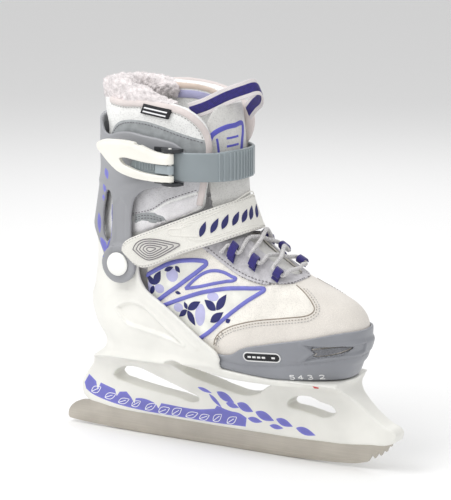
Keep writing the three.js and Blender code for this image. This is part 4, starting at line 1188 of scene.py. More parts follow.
def make_fibres(pile):
    """Short loose fibres that stand out of the fluffy roll."""
    rng = np.random.default_rng(11)
    co = coordinates(pile)
    normals = np.array([tuple(v.normal) for v in pile.data.vertices])
    chosen = rng.choice(len(co), 9000, replace=False)
    points, faces = [], []
    for k in chosen:
        lean = normals[k] + rng.normal(size=3) * 0.7
        lean /= np.linalg.norm(lean)
        wide = np.cross(lean, rng.normal(size=3))
        wide *= 0.1 / np.linalg.norm(wide)
        length = rng.uniform(0.9, 1.9)
        droop = np.array([0, 0, -0.25 * length])
        root = co[k] - normals[k] * 0.3
        middle = root + lean * length * 0.6
        start = len(points)
        points += [root - wide, root + wide, middle + wide * 0.8, middle - wide * 0.8,
                   root + lean * length + droop]
        faces += [(start, start + 1, start + 2, start + 3), (start + 3, start + 2, start + 4)]
    dress(make("collar_pile_fibres", points, faces), "cuff", LINING_PILE)


# ---- CAD nodes that stay in sight --------------------------------------------------------------
def paint(material, *names):
    for name in names:
        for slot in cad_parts[name].material_slots:
            slot.link = "OBJECT"
            slot.material = material


def paint_hardware():
    paint(STEEL, "pivot_rivet_lateral", "pivot_rivet_medial", "buckle_rivet_1",
          "buckle_rivet_2", "strap_pin", "bracket_rivet_1", "bracket_rivet_2", "instep_pin",
          "instep_rivet_1", "instep_rivet_2")
    paint(BUCKLE_DARK, "strap_bracket", "instep_bracket")
    paint(STRAP_GREY, "buckle_pawl")


def make_buckle_base():
    """Dark base: a riveted plate with a thin ear above and below the lever's barrels."""
    plate = prism("buckle_base_moulding", [(-35, -42.1), (-35, -40.9), (-17.6, -40.9),
                                           (-17.9, -42.1)], 210.8, 238.8, "xy")
    ear = [(-28, -41.2), (-9.5, -41.2), (-10.6, -47.6), (-13.6, -50.9), (-20.2, -50.9),
           (-24.6, -48.2)]
    for low, high in ((210.8, 213.3), (236.2, 238.8)):
        join(plate, prism("ear", outline(ear, 1.0, 60), low, high, "xy"),
             prism("strip", [(-34, -42.1), (-34, -40.9), (-9.5, -40.9), (-9.5, -42.1)],
                   low, high, "xy"))
    mould(plate, 0.42, 1)
    for x, z in ((-29, 217), (-29, 233)):
        cut(plate, cylinder("hole", x, z, 1.9, -60, -20, 24))
    smooth_shaded(plate, 40)
    dress(plate, "cuff", BUCKLE_DARK, ["buckle_base"])
    pin = prism("buckle_pin_rod", disc(*LEVER_PIN, 1.25, 24), 210.0, 239.6, "xy")
    dress(bevelled(pin, 0.35, 2, 40), "cuff", CAP_WHITE, ["buckle_pin"])


# ---- buckle lever ------------------------------------------------------------------------------
LEVER_SIDE = [(-14.4, 235.6), (-28, 236.2), (-38.3, 239.3), (-46, 242), (-55, 243.2),
              (-66, 243.3), (-75.8, 242.4), (-80.8, 239.6), (-80.4, 235.6), (-77.2, 232.2),
              (-71.2, 226), (-62.8, 219.4), (-50.9, 215.4), (-38.9, 213.8), (-28.3, 213.4),
              (-14.4, 213.7)]
LEVER_SLOT = [(0, 218.9), (-28, 218.9), (-41, 220.2), (-50, 222.5), (-58, 226), (-60.4, 229.2),
              (-57, 230), (-48.7, 229.3), (-38.5, 227.9), (-28.3, 227.2), (0, 227.2)]
LEVER_PIN = (-17, -48.5)


def make_lever():
    shape = outline(LEVER_SIDE, 1.0, 60)
    lever = prism("buckle_lever_arm", shape, -51.6, -47.3)
    notches = [(-41.5, 238.4), (-43.5, 243), (-47, 244), (-46, 240.6), (-43.6, 240.2)]
    cut(lever, prism("slot", outline(LEVER_SLOT, 1.0), -60, -40),
        prism("notch", notches, -60, -40),
        prism("end", [(-18, 200), (0, 200), (0, 250), (-18, 250)], -60, -40))
    barrels = [prism("barrel", disc(*LEVER_PIN, 3.1, 32), *span, "xy")
               for span in ((213.6, 218.9), (227.2, 235.8))]
    join(lever, *barrels)
    mould(lever, 0.5, 5)

    def lift(co, normals):
        face = smooth((-normals[:, 1] - 0.5) / 0.4)
        depth = inside_depth(co[:, (0, 2)], shape)
        return face * 0.7 * smooth((depth - 1.0) / 3.5) - 0.25 * (1 - face)

    relieve(lever, lift)
    dress(lever, "buckle_lever", LEVER_WHITE, ["buckle_lever"])


# ---- straps ------------------------------------------------------------------------------------
def ribbon(name, middle, wide, edges, thickness):
    """Band with rounded edges: edges(t) gives how far it reaches along wide each way."""
    p = np.asarray(middle, float)
    along = np.gradient(p, axis=0)
    along /= np.linalg.norm(along, axis=1)[:, None]
    rings = []
    half = thickness / 2
    for i, point in enumerate(p):
        high, low = edges(i / (len(p) - 1))
        out = np.cross(along[i], wide)
        out /= np.linalg.norm(out)
        reach = np.concatenate([np.linspace(low + half, high - half, 14),
                                high - half + half * np.sin(np.linspace(0.3, math.pi - 0.3, 6)),
                                np.linspace(high - half, low + half, 14),
                                low + half - half * np.sin(np.linspace(0.3, math.pi - 0.3, 6))])
        depth = np.concatenate([np.full(14, half), half * np.cos(np.linspace(0.3, 2.84, 6)),
                                np.full(14, -half), -half * np.cos(np.linspace(0.3, 2.84, 6))])
        rings.append(point + np.outer(reach, wide) + np.outer(depth, out))
    piece = make(name, *loft_data(rings))
    fix_normals(piece)
    return smooth_shaded(piece, 50)


STRAP_ANCHOR = (-40, 46.5)
STRAP_MIDDLE = 225
TAIL_RADIUS = STRAP_ANCHOR[1] + 45.8
STRAP_PLAN = [(x, STRAP_ANCHOR[1] - math.sqrt(TAIL_RADIUS ** 2 - (x - STRAP_ANCHOR[0]) ** 2))
              for x in (-54, -47, -40, -33, -26, -19)]
STRAP_PLAN += [(-10, -42.4), (0, -39.4), (10, -34), (18, -25), (22, -13), (22.6, 0),
               (19.8, 12.5), (13, 24.5), (5, 33), (-4, 38.6), (-14, 42.6), (-25, 45.2),
               (-35, 46.3)]


def make_cuff_strap():
    middle = path([(x, y, STRAP_MIDDLE) for x, y in STRAP_PLAN], 1.2)

    def edges(t):
        tip = min(1, t * 176 / 9)
        low = -11 * (0.12 + 0.88 * tip)
        grow = 1.2 * smooth((t - 0.36) / 0.1) * (1 - smooth((t - 0.62) / 0.1))
        narrow = 0.6 * (1 - smooth((t - 0.15) / 0.1))
        return float(-low - narrow + grow - 11 * 0.5 * (1 - tip) * 0.2), float(low + narrow)

    wide = np.array([0, 0, 1.0])
    strap = ribbon("cuff_strap_band", middle, wide, edges, 2.4)
    along = np.gradient(middle, axis=0)
    run = lengths(middle)

    def bar(name, distance, lift, levels, radius, sides):
        """Round bar across the strap, at a distance from its tail."""
        i = int(np.searchsorted(run, distance))
        out = np.cross(along[i] / np.linalg.norm(along[i]), wide)
        spot = middle[i] + out * lift
        return tube(name, np.array([spot + wide * z for z in levels]), radius, sides, 1.0, out)

    join(strap, *[bar("rib", 72 + 3.7 * k, 1.35, np.linspace(-10.4, 10.8, 12), 0.75, 10)
                  for k in range(11)])
    anchor = prism("knuckle", disc(*STRAP_ANCHOR, 3.0, 32), 217.2, 232.8, "xy")
    link = prism("link", [(-40, 45.3), (-33, 45.3), (-33, 47.7), (-40, 47.7)], 217.2, 232.8,
                 "xy")
    bore = prism("bore", disc(*STRAP_ANCHOR, 1.5, 24), 205, 245, "xy")
    cut(anchor, bore)
    join(strap, anchor, link)
    smooth_shaded(strap, 40)
    dress(strap, "cuff_strap", STRAP_GREY, ["cuff_strap"])
    teeth = [bar("tooth", 6 + 2.6 * k, 1.2, (-3.2, -1, 1, 3.2), 0.55, 8) for k in range(12)]
    dress(join(*teeth), "cuff_strap", STRAP_GREY).name = "cuff_strap_teeth"


INSTEP_TILT = 0.388
INSTEP_LEVEL = 163
LEAN = np.array([-math.sin(INSTEP_TILT), 0, math.cos(INSTEP_TILT)])
AHEAD = np.array([math.cos(INSTEP_TILT), 0, math.sin(INSTEP_TILT)])
INSTEP_PIN = (40, 47.5)
INSTEP_PLAN = [(0.5, -43.3), (4.5, -43.5), (12, -43.6), (22, -43.2), (34, -42), (48, -40),
               (62, -37.4), (76, -33), (85.5, -25.5), (92.5, -13.5), (95.2, 0), (92.6, 13.5),
               (82.5, 25), (71, 32.8), (59, 38.6), (50.5, 43.4), (46, 46.4)]


def tilted(a, y, level=INSTEP_LEVEL):
    return LEAN * level + AHEAD * a + np.array([0, y, 0])


def make_instep_strap():
    middle = path([tilted(a, y) for a, y in INSTEP_PLAN], 1.2)
    run = lengths(middle)
    total = run[-1]

    def edges(t):
        s = t * total
        high = np.interp(s, *np.array([(0, 6.6), (1, 8.6), (3, 10.6), (6, 11.9), (11, 12.8),
                                       (22, 13.1), (62, 13.2), (175, 13.2)]).T)
        low = np.interp(s, *np.array([(0, 5.0), (1, 2.6), (3, -1.2), (5.5, -5.8), (7.4, -8.2),
                                      (10, -10.4), (13.4, -12.0), (18, -12.8), (26, -12.9),
                                      (50, -11.8), (80, -13.0)]).T)
        return float(high), float(low)

    strap = ribbon("instep_strap_band", middle, LEAN, edges, 2.2)

    def place(s, b):
        """Maps length along the strap and height across it onto the outer face."""
        point = np.array([np.interp(s, run, middle[:, k]) for k in range(3)])
        ahead = np.array([np.interp(s + 1, run, middle[:, k])
                          - np.interp(s - 1, run, middle[:, k]) for k in range(3)])
        out = np.cross(ahead / np.linalg.norm(ahead), LEAN)
        out /= np.linalg.norm(out)
        return point + LEAN * b + out * 1.1, out

    marks = np.linspace(2.5, 158, 80)
    upper = [(s, edges(s / total)[0] - 2.4) for s in marks]
    lower = [(s, edges(s / total)[1] + 2.4) for s in marks]
    rim = bead("instep_rim", upper, place, 0.55, 0.5)
    rim_low = bead("instep_rim_low", lower, place, 0.55, 0.5)
    panel = [(56, 8.6), (70, 9.4), (88, 10.6), (138, 10.6), (142, 5.0), (142, -4),
             (138, -9.0), (100, -9.0), (78, -8.6), (66, -7.4), (52, 1.6)]
    rims = [bead(f"panel_{k}", outline(panel, 1.2, 60) * (1, 1 - 0.16 * k), place, 0.5, 0.6,
                 closed=True) for k in range(2)]
    chevron = bead("chevron", [(64, 6.8), (54, 6.9), (43.6, 7.4), (54, 1.0), (66, -3.6)],
                   place, 0.7, 0.6)
    join(strap, rim, rim_low, chevron, *rims)
    knuckle = instep_barrel(3.0, 18)
    cut(knuckle, instep_barrel(1.5, 60))
    lip = make("lip", *loft_data([[tilted(a, y, level) for a, y in
                                   ((40, 46.1), (48, 46.1), (48, 48.5), (40, 48.5))]
                                  for level in (INSTEP_LEVEL - 8.5, INSTEP_LEVEL + 8.5)]))
    fix_normals(lip)
    join(strap, knuckle, lip)
    smooth_shaded(strap, 45)
    dress(strap, "instep_strap", STRAP_LEATHER, ["instep_strap"])
    for end, line, gap in (("high", upper, 1.2), ("low", lower, -1.2)):
        thread = stitches(f"instep_stitch_{end}", [(s, b + gap) for s, b in line], place, 1.3,
                          1.4, 0.26)
        dress(thread, "instep_strap", THREAD_PALE)
    grip = outline([(10.1, 4.0), (14, 7.2), (19.7, 8.6), (26, 7.8), (33, 5.2), (42, 0.6),
                    (50.4, -4.0), (50.2, -5.6), (39, -7.6), (25.4, -8.8), (20.4, -8.0),
                    (15, -3.4)], 0.9, 60)
    base = patch("instep_grip", grip, place, 0.25, 0.2, 1.0)
    dress(base, "instep_strap", surface("grip_rubber", (205, 203, 198), 0.7, vary=0.03))
    centre = np.array([25.0, -0.6])
    lines = [bead(f"grip_{k}", centre + (grip - centre) * (0.96 - 0.19 * k), place, 0.36, 0.6,
                  0.45, 6, closed=True) for k in range(5)]
    dress(join(*lines), "instep_strap", THREAD_DARK).name = "instep_grip_rings"
    rng = random.Random(3)
    flourish = []
    for k in range(7):                 # a plain leaf row along the middle
        s = 67 + 8.6 * k
        shape = petal(s, -4.4, 12.5, 4.4, 0.95 - rng.random() * 0.3)
        flourish.append(patch(f"leaf_{k}", shape, place, 0.3, 0.15, 0.8, spacing=1.2,
                              sink=0.1))
    dress(join(*flourish), "instep_strap", NAVY_PRINT).name = "instep_leaves"


def instep_barrel(radius, width):
    rings = [[tilted(a, y, level) for a, y in disc(*INSTEP_PIN, radius, 32)]
             for level in (INSTEP_LEVEL - width / 2, INSTEP_LEVEL + width / 2)]
    barrel = make("barrel", *loft_data(rings))
    fix_normals(barrel)
    return barrel


# ---- inside the boot ---------------------------------------------------------------------------
TONGUE_SIDE = [(22, 183), (40, 176), (40, 272), (6, 270), (2, 262), (3, 205), (8, 187)]
LOOP_POINTS = [(-16, -19.5, 264.0), (-4, -17.5, 268.5), (10, -11, 276), (22, -4.0, 281),
               (28.5, 1.5, 283), (29.5, 6, 279), (26.5, 9.5, 273), (20.5, 12.5, 268.5),
               (14.5, 14, 262)]
LOOP_WIDE = np.array([-0.423, 0, 0.906])


def make_inner():
    footbed = form_solid("footbed_pad", -10.9, 66, 90)
    trim(footbed, [(-100, 79.5), (-11, 79.5), (24, 74.9), (104, 74.9), (104, 77.6), (62, 78),
                   (24, 78.6), (-11, 83.2), (-100, 84.2)])
    mould(footbed, 0.8, 3)
    dress(footbed, "chassis", FOAM, ["footbed"])
    liner = skin("inner_boot", -10.3, -5.4, 77, 168)
    trim(liner, [(-115, 79.5), (-36, 79.5), (-24, 100), (-24, 150), (-25, 160), (-30, 160),
                 (-52, 153), (-78, 150), (-115, 150)])
    mould(liner, 0.9, 4)
    dress(liner, "chassis", LINING_WHITE, ["liner"])
    gaiter = skin("ankle_gaiter", -8.4, -6.7, 116, 202)
    trim(gaiter, [(-62, 140), (-26, 140), (0, 128), (40, 118), (66, 116), (66, 150), (44, 162),
                  (34, 178), (26, 192), (6, 200), (-30, 194), (-62, 180)])
    mould(gaiter, 0.9, 3)
    dress(gaiter, "chassis", PANEL_GREY)
    tongue = skin("tongue_pad", lambda z: -6.6, lambda z: -0.3 + 0.9 * math.sin(
        max(0, min(1, (z - 178) / 92)) * math.pi), 174, 273)
    within(tongue, prism("side", outline(TONGUE_SIDE, 1.2, 60), -24, 21.5))
    mould(tongue, 0.8, 6)
    dress(tongue, None, TONGUE_MESH, ["tongue"])
    place = Target(tongue).front(-0.5)
    frame_line = [(-20.4, 233), (-20, 242), (-17, 248.5), (-8, 253), (2, 254),
                  (10.8, 254.5), (11.6, 250), (10, 242), (8.2, 234)]
    arch = bead("tongue_arch", frame_line, place, 1.9, 0.3)
    inner_arch = bead("tongue_inner", [(-13.4, 233), (-14.0, 241), (-14.6, 245)], place, 0.9,
                      0.35)
    bars = [patch("bar", outline([(-7, z), (5, z + 0.8), (5, z + 2.4), (-7, z + 1.6)], 1.0, 40),
                  place, 0.15, 0.1, 0.5, spacing=1) for z in (244.0, 238.0)]
    printed = join(arch, inner_arch, *bars)
    printed.name = "tongue_print"
    dress(printed, None, FRAME_PURPLE)
    loop = path(LOOP_POINTS, 0.8)
    band = ribbon("pull_loop_band", loop, LOOP_WIDE, lambda t: (6.5, -6.5), 1.3)
    dress(band, None, WEBBING_WHITE, ["pull_loop"])
    centre = ribbon("pull_loop_centre", loop, LOOP_WIDE, lambda t: (3.8, -3.8), 1.9)
    dress(centre, None, WEBBING_NAVY)
    for piece in (tongue, printed, band, centre):
        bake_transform(piece)


# ---- sliding toe section -----------------------------------------------------------------------
TOE_WALL = [(-12, 79.5), (-12, 86), (16, 85), (30.3, 85.6), (39.9, 91.2), (58.0, 96.1),
            (87.5, 101.8), (116.3, 107.6), (136, 107.4), (136, 66), (116, 69), (61, 69),
            (23, 73.5)]
TOE_FLOOR = [(26, 73.2), (61, 69), (116, 69), (124, 66), (124, 71.8), (61, 71.8), (26, 73.9)]
BUTTON_HOLE = [(91.8, 88.2), (103, 89.6), (113.4, 92.2), (121.0, 96.9), (113, 97.2),
               (103.8, 96.4), (91.6, 94.6), (96.0, 91.2)]
BUTTON = [(93.1, 89.0), (103, 90.3), (112.9, 93.0), (119.2, 96.3), (113, 96.6), (103.9, 95.8),
          (92.8, 93.9), (96.9, 91.2)]
TOE_RECESS = [(86.8, 97.7), (99.6, 96.8), (110.7, 96.7), (127.1, 98.2), (135.8, 97.6),
              (129.3, 95.2), (120.0, 90.5), (99.7, 87.0), (85.8, 84.4), (94.7, 91.8)]


def make_toe_shell():
    shell = skin("toe_shell_moulding", 0.5, 2.9, 66, 116)
    trim(shell, TOE_WALL)
    floor = form_solid("floor", 2.3, 64, 78)
    within(floor, prism("floor_side", outline(TOE_FLOOR), -60, 60))
    join(shell, floor)
    mould(shell, 0.85, 1)
    cut(shell, prism("hole", outline(BUTTON_HOLE, 1.0, 30), -60, -10))
    mould(shell, 0.7, 5)
    recess = outline(TOE_RECESS, 1.0, 60)
    crease = path([(20, 79.5), (39.8, 77.4), (56, 78.4), (74, 80.4), (94.2, 83.0),
                   (116.3, 86.8), (132, 90)], 2)

    def lift(co, normals):
        flat = co[:, (0, 2)]
        out = normals[:, 1] * np.sign(co[:, 1]) > 0.15
        out |= normals[:, 0] > 0.4
        depth = inside_depth(flat, recess)
        lateral = co[:, 1] < 0
        dent = np.where(lateral, -1.6 * smooth((depth + 0.3) / 1.6), 0)
        dent += np.where(lateral, 0.5 * np.exp(-((depth + 1.2) / 1.4) ** 2), 0)
        gap = np.min(np.linalg.norm(flat[:, None] - crease[None], axis=2), axis=1)
        below = flat[:, 1] < np.interp(flat[:, 0], crease[:, 0], crease[:, 1])
        fold = -0.8 * np.exp(-(gap / 1.8) ** 2) + np.where(below, 0.45, 0)
        nose = 1.7 * smooth((co[:, 0] - 112) / 9) * smooth((co[:, 2] - 78) / 5) \
            * (1 - smooth((co[:, 2] - 97) / 4))
        return np.where(out & (co[:, 2] > 66), dent + fold + nose, 0)

    relieve(shell, lift)
    dress(shell, "slider", TOE_GREY, ["toe_shell"])
    place = Target(shell).side(LATERAL)
    turn = np.linspace(math.pi / 2, math.pi * 1.5, 13)
    left = np.column_stack([45.4 + 3.3 * np.cos(turn), 85.9 + 3.3 * np.sin(turn)])
    right = np.column_stack([67.0 - 3.3 * np.cos(turn), 86.6 - 3.3 * np.sin(turn)])
    badge = np.vstack([left, right])
    dress(patch("toe_badge", badge, place, 0.35, 0.35, 1.4), "slider", TAG_BLACK)
    dress(bead("toe_badge_rim", badge, place, 0.55, 0.6, 0.4, 8, closed=True), "slider",
          DIGIT_WHITE)
    bars = [patch(f"badge_bar_{k}", outline([(45.4 + 3.7 * k, 85.2 + 0.12 * k),
                                             (48.0 + 3.7 * k, 85.3 + 0.12 * k),
                                             (48.0 + 3.7 * k, 86.7 + 0.12 * k),
                                             (45.4 + 3.7 * k, 86.6 + 0.12 * k)], 0.8),
                  place, 0.75, 0.1, 0.5, spacing=0.9, sink=0) for k in (0, 1, 2, 3, 5)]
    dress(join(*bars), "slider", DIGIT_WHITE).name = "toe_badge_bars"
    digits = {
        "5": [[(0.95, 1), (0.1, 1)], [(0.1, 1), (0.05, 0.55)],
              [(0.05, 0.55), (0.6, 0.62), (1, 0.32), (0.6, 0), (0, 0.08)]],
        "4": [[(0.75, 0), (0.75, 1)], [(0.75, 1), (0, 0.32)], [(0, 0.32), (1.1, 0.32)]],
        "3": [[(0, 0.95), (0.7, 1), (0.9, 0.75), (0.4, 0.54)],
              [(0.4, 0.54), (1, 0.3), (0.6, 0), (0, 0.06)]],
        "2": [[(0, 0.8), (0.5, 1), (0.95, 0.72), (0.05, 0.02)], [(0.05, 0.02), (1.05, 0.02)]],
    }
    for (digit, strokes), x in zip(digits.items(), (75.6, 81.6, 88.4, 96.2)):
        lines = [bead("stroke", [(x + 3.3 * a, 69.9 + 0.05 * (x - 75) + 3.2 * b)
                                 for a, b in stroke], place, 0.42, 0.5, 0.1, 8)
                 for stroke in strokes]
        dress(join(*lines), "slider", DIGIT_WHITE).name = f"size_digit_{digit}"
    button = skin("size_button_pad", 1.95, 2.5, 80, 104)
    within(button, prism("side", outline(BUTTON, 1.0, 30), -60, -10))
    mould(button, 0.45, 3)
    mesh = surface("button_mesh", (112, 113, 118), 0.6, pattern="mesh", pitch=1.2, depth=0.35)
    dress(button, "size_button", mesh, ["size_button"])


VAMP_SIDE = [(-12, 84), (16, 78), (30, 75), (62, 73), (70, 106), (97, 112), (99, 128),
             (88, 140), (76, 147), (72, 170), (27, 169.5), (8, 165.5), (-22, 156.5),
             (-48, 146.5), (-48, 112)]
CAP_FLANK = [(13, 72), (15.4, 90.2), (16.2, 95.5), (20.8, 101.3), (28.7, 106.3), (39.6, 110.4),
             (52.1, 113.5), (64.3, 115.4), (76, 117.1), (84, 118.2), (89.4, 120.0), (92.2, 123),
             (94, 124), (140, 124), (140, 72)]
CAP_TOP = [(92.6, -45), (91.9, -26), (91.0, -21.4), (88.1, -19.4), (83.1, -17.4), (77.2, -15.6),
           (71.9, -14.6), (68, -9), (68, 9), (71.9, 15.6), (77.2, 17.6), (83.1, 20.4),
           (88.1, 23.4), (91.0, 26), (92.6, 31), (93, 45), (140, 45), (140, -45)]
THROAT = [(12, -13), (30, -9.5), (58, -9), (66, -6), (68, 0), (66, 6), (58, 9), (30, 9.5),
          (12, 13)]
TOE_SEAM = [(15.6, -39.2, 91), (16.4, -39.4, 95.5), (20.8, -39.4, 101.2), (28.7, -39.0, 106.2),
            (39.6, -37.8, 110.3), (52.1, -35.6, 113.4), (64.3, -33.0, 115.3), (76, -29.6, 117.0),
            (84, -27.0, 118.2), (89.2, -24.6, 120), (91.4, -21.8, 123.4), (88.1, -19.4, 127.7),
            (83.1, -17.4, 131.9), (77.2, -15.6, 135.9), (72.4, -14.8, 138.6)]


def open_throat(piece):
    return cut(piece, prism("throat", outline(THROAT, 1.2, 60), 120, 220, "xy"))


def make_upper():
    vamp = skin("vamp_fabric", -2.2, 0.05, 72, 186)
    trim(vamp, VAMP_SIDE)
    open_throat(vamp)
    mould(vamp, 0.8, 3)
    dress(vamp, "slider", UPPER_FABRIC, ["vamp"])
    flank = skin("toe_cap_leather", -2.0, 0.35, 72, 125)
    trim(flank, CAP_FLANK)
    crown = skin("crown", -2.0, 0.35, 117, 166)
    within(crown, prism("crown_plan", outline(CAP_TOP, 1.2, 50), 117.5, 170, "xy"))
    open_throat(crown)
    cap = join(flank, crown)
    mould(cap, 0.75, 4)
    dress(cap, "slider", TOE_LEATHER, ["toe_cap"])
    body = Target(vamp, cap)
    for side, label in SIDE_NAMES.items():
        seam = [(x, y if side == LATERAL else 4.5 - y, z) for x, y, z in TOE_SEAM]
        edge = bead(f"toe_seam_edge_{label}", seam, body.over, 0.45, 0.7, 0.1)
        dress(edge, "slider", THREAD_TAN)
        for k, gap in enumerate((2.0, 4.0)):
            row = stitches(f"toe_stitch_{label}_{k + 1}", seam[:-1], body.over, 1.4, 1.0, 0.3,
                           0.15, aside=-side * gap)
            dress(row, "slider", THREAD_TAN if k == 0 else THREAD_PALE)
        ribs_and_flowers(Target(vamp, cap).side(side), label)
    gusset = skin("gusset_pad", -6.3, -3.1, 106, 186)
    trim(gusset, [(24, 120), (84, 110), (84, 150), (60, 160), (34, 174), (26, 176)], -17.5,
         17.5)
    within(gusset, form_solid("inside", -3.0, 100, 186))
    mould(gusset, 0.9, 4)
    dress(gusset, "slider", TONGUE_MESH, ["gusset"])
    make_eyestay()


def ribs_and_flowers(place, label):
    """Raised closed ribs of the quarter and the printed flowers between them."""
    grounds = [[(-52, 131), (-35.3, 143.0), (-28.4, 146.4), (-19.5, 149.4), (-9.6, 151),
                (1, 151.4), (-4.3, 142.6), (-10.6, 137.6), (-19.8, 130.6), (-29.3, 124.0),
                (-40, 116)],
               [(-30.1, 114.6), (-21.9, 118.2), (-10.2, 123.4), (1.2, 127.6), (12.3, 130.6),
                (23.4, 133.1), (34.1, 134.2), (49, 134.2), (40.9, 127.0), (31, 119), (20.5, 109.6),
                (12.4, 102), (3.5, 96), (-8, 102)]]
    for k, ground in enumerate(grounds):
        dress(patch(f"quarter_ground_{label}_{k + 1}", outline(ground, 1.2, 60), place, 0.08),
              "slider", surface("quarter_pale", (240, 240, 232), 0.75, pattern="weave",
                                pitch=0.7, depth=0.05))
    ribs = [([(-50, 135.6), (-44, 139.4), (-35.3, 144.3), (-28.4, 147.8), (-19.5, 150.8),
              (-9.6, 152.4), (-1.0, 152.9), (3.6, 152.4), (4.4, 150.6), (0.7, 147.2),
              (-4.3, 143.0), (-10.6, 138.2), (-19.8, 131.2), (-29.3, 124.6), (-38, 118.0)], 1.7),
            ([(-12.1, 130.6), (-5.4, 137.3), (1.3, 142.8), (7.4, 145.7), (13.7, 146.6),
              (20, 145.7), (25.5, 143.6), (29.6, 141.6), (22, 139.4), (11.7, 136.8),
              (1.0, 133.7), (-12.1, 130.6)], 1.25),
            ([(-32, 115.2), (-21.9, 119.6), (-10.2, 124.5), (1.2, 128.8), (12.3, 131.9),
              (23.4, 134.3), (34.1, 135.4), (44.4, 136.0), (51.6, 136.4), (52.6, 135.2),
              (49.1, 132.4), (40.9, 126.5), (31, 118.3), (20.5, 108.9), (12.4, 101.4),
              (3.0, 94.4)], 1.6)]
    for k, (line, radius) in enumerate(ribs):
        rib = bead(f"quarter_rib_{label}_{k + 1}", line, place, radius, 0.62, 0.1, 14)
        dress(rib, "slider", RIB_PURPLE)
    shadows = [(-24.5, 139.6, 5.4, 5.2), (-18, 115.4, 4.4, 3.4), (2.5, 112.4, 4.6, 8.4),
               (12.6, 127.2, 5.0, 3.4), (-36.5, 127.7, 4.6, 3.6), (-47, 127, 4.4, 5.0)]
    discs = [patch(f"shadow_{k}", [(a + r * math.cos(t), b + h * math.sin(t))
                                   for t in np.arange(24) * math.pi / 12], place, 0.16,
                   spacing=1.5) for k, (a, b, r, h) in enumerate(shadows)]
    dress(join(*discs), "slider", LAVENDER).name = f"quarter_shadows_{label}"
    petals = [(-41.5, 130, -47.9, 137.3, 5.0), (-41.3, 130, -35.2, 141.8, 6.4),
              (-41.8, 129.4, -45, 121.6, 4.2), (-31.6, 142.3, -23.7, 145.9, 3.6),
              (-22, 146.9, -17.5, 142.2, 3.6), (-9.8, 115.2, -12.9, 120.4, 3.2),
              (-9.4, 115, 1.9, 122.3, 6.0), (-9.9, 114.6, -17.1, 108.5, 4.4),
              (-9.4, 114.4, -1.7, 103.6, 5.4), (16.2, 117.3, 5.4, 124.2, 6.4),
              (16.7, 117.5, 23.9, 130, 6.4), (12, 108, 22.9, 116.8, 6.2),
              (-21.5, 126.9, -16.2, 126.2, 2.6), (25.5, 109.6, 29.3, 112.0, 3.4)]
    shapes = []
    for k, (x, z, tip_x, tip_z, width) in enumerate(petals):
        length = math.hypot(tip_x - x, tip_z - z)
        shape = petal(x, z, length, width, math.atan2(tip_z - z, tip_x - x))
        shapes.append(patch(f"petal_{k}", shape, place, 0.26, spacing=1.4))
    dress(join(*shapes), "slider", NAVY_PRINT).name = f"quarter_flowers_{label}"


EYESTAY_SIDE = [(-1.0, 163.2), (13.7, 154.8), (26.0, 147.6), (38.1, 142.4), (50.2, 139.4),
                (62.1, 137.8), (80, 134), (80, 170.5), (27, 170.5), (8, 166.4)]
EYESTAY_PLAN = [(-10, -45), (50, -45), (56, -25.2), (62.7, -22), (69.2, -17.2), (72.6, -10.8),
                (73.6, 0), (72.2, 8), (68, 15), (60, 22), (54, 26), (50, 45), (-10, 45)]
EYESTAY_EDGE = [(1.0, -29.5, 164.2), (5.6, -28.4, 161.6), (20.4, -28.6, 153.4),
                (31.9, -28.4, 147.6), (43.0, -27.2, 143.4), (53.3, -24.8, 141.2),
                (61.6, -21.2, 140.2), (67.6, -16.6, 140.4), (70.8, -10.6, 140.8),
                (71.8, 0.4, 141.2)]


def make_eyestay():
    eyestay = skin("eyestay_facing", 0.35, 1.7, 134, 186)
    trim(eyestay, EYESTAY_SIDE)
    within(eyestay, prism("plan", outline(EYESTAY_PLAN, 1.2, 60), 120, 220, "xy"))
    open_throat(eyestay)
    mould(eyestay, 0.55, 3)
    dress(eyestay, "slider", EYESTAY_GREY, ["eyestay"])
    target = Target(eyestay)
    for side, label in SIDE_NAMES.items():
        line = [(x, y if side == LATERAL else 1.5 - y, z) for x, y, z in EYESTAY_EDGE]
        for k in range(2):
            row = stitches(f"eyestay_stitch_{label}_{k + 1}", line, target.over,
                           1.7, 1.1, 0.38, 0.25, aside=-side * (1.3 + 2.4 * k))
            dress(row, "slider", THREAD_DARK)


LOOPS = {LATERAL: [(23.5, -25.0), (40, -22.5), (58, -20.0)],
         MEDIAL: [(23.5, 24.0), (40, 20.0), (58, 16.0)]}
LOOP_WIDTH = 6.5
LACE_LIFT = 5.3
LACE_RADIUS = 1.5


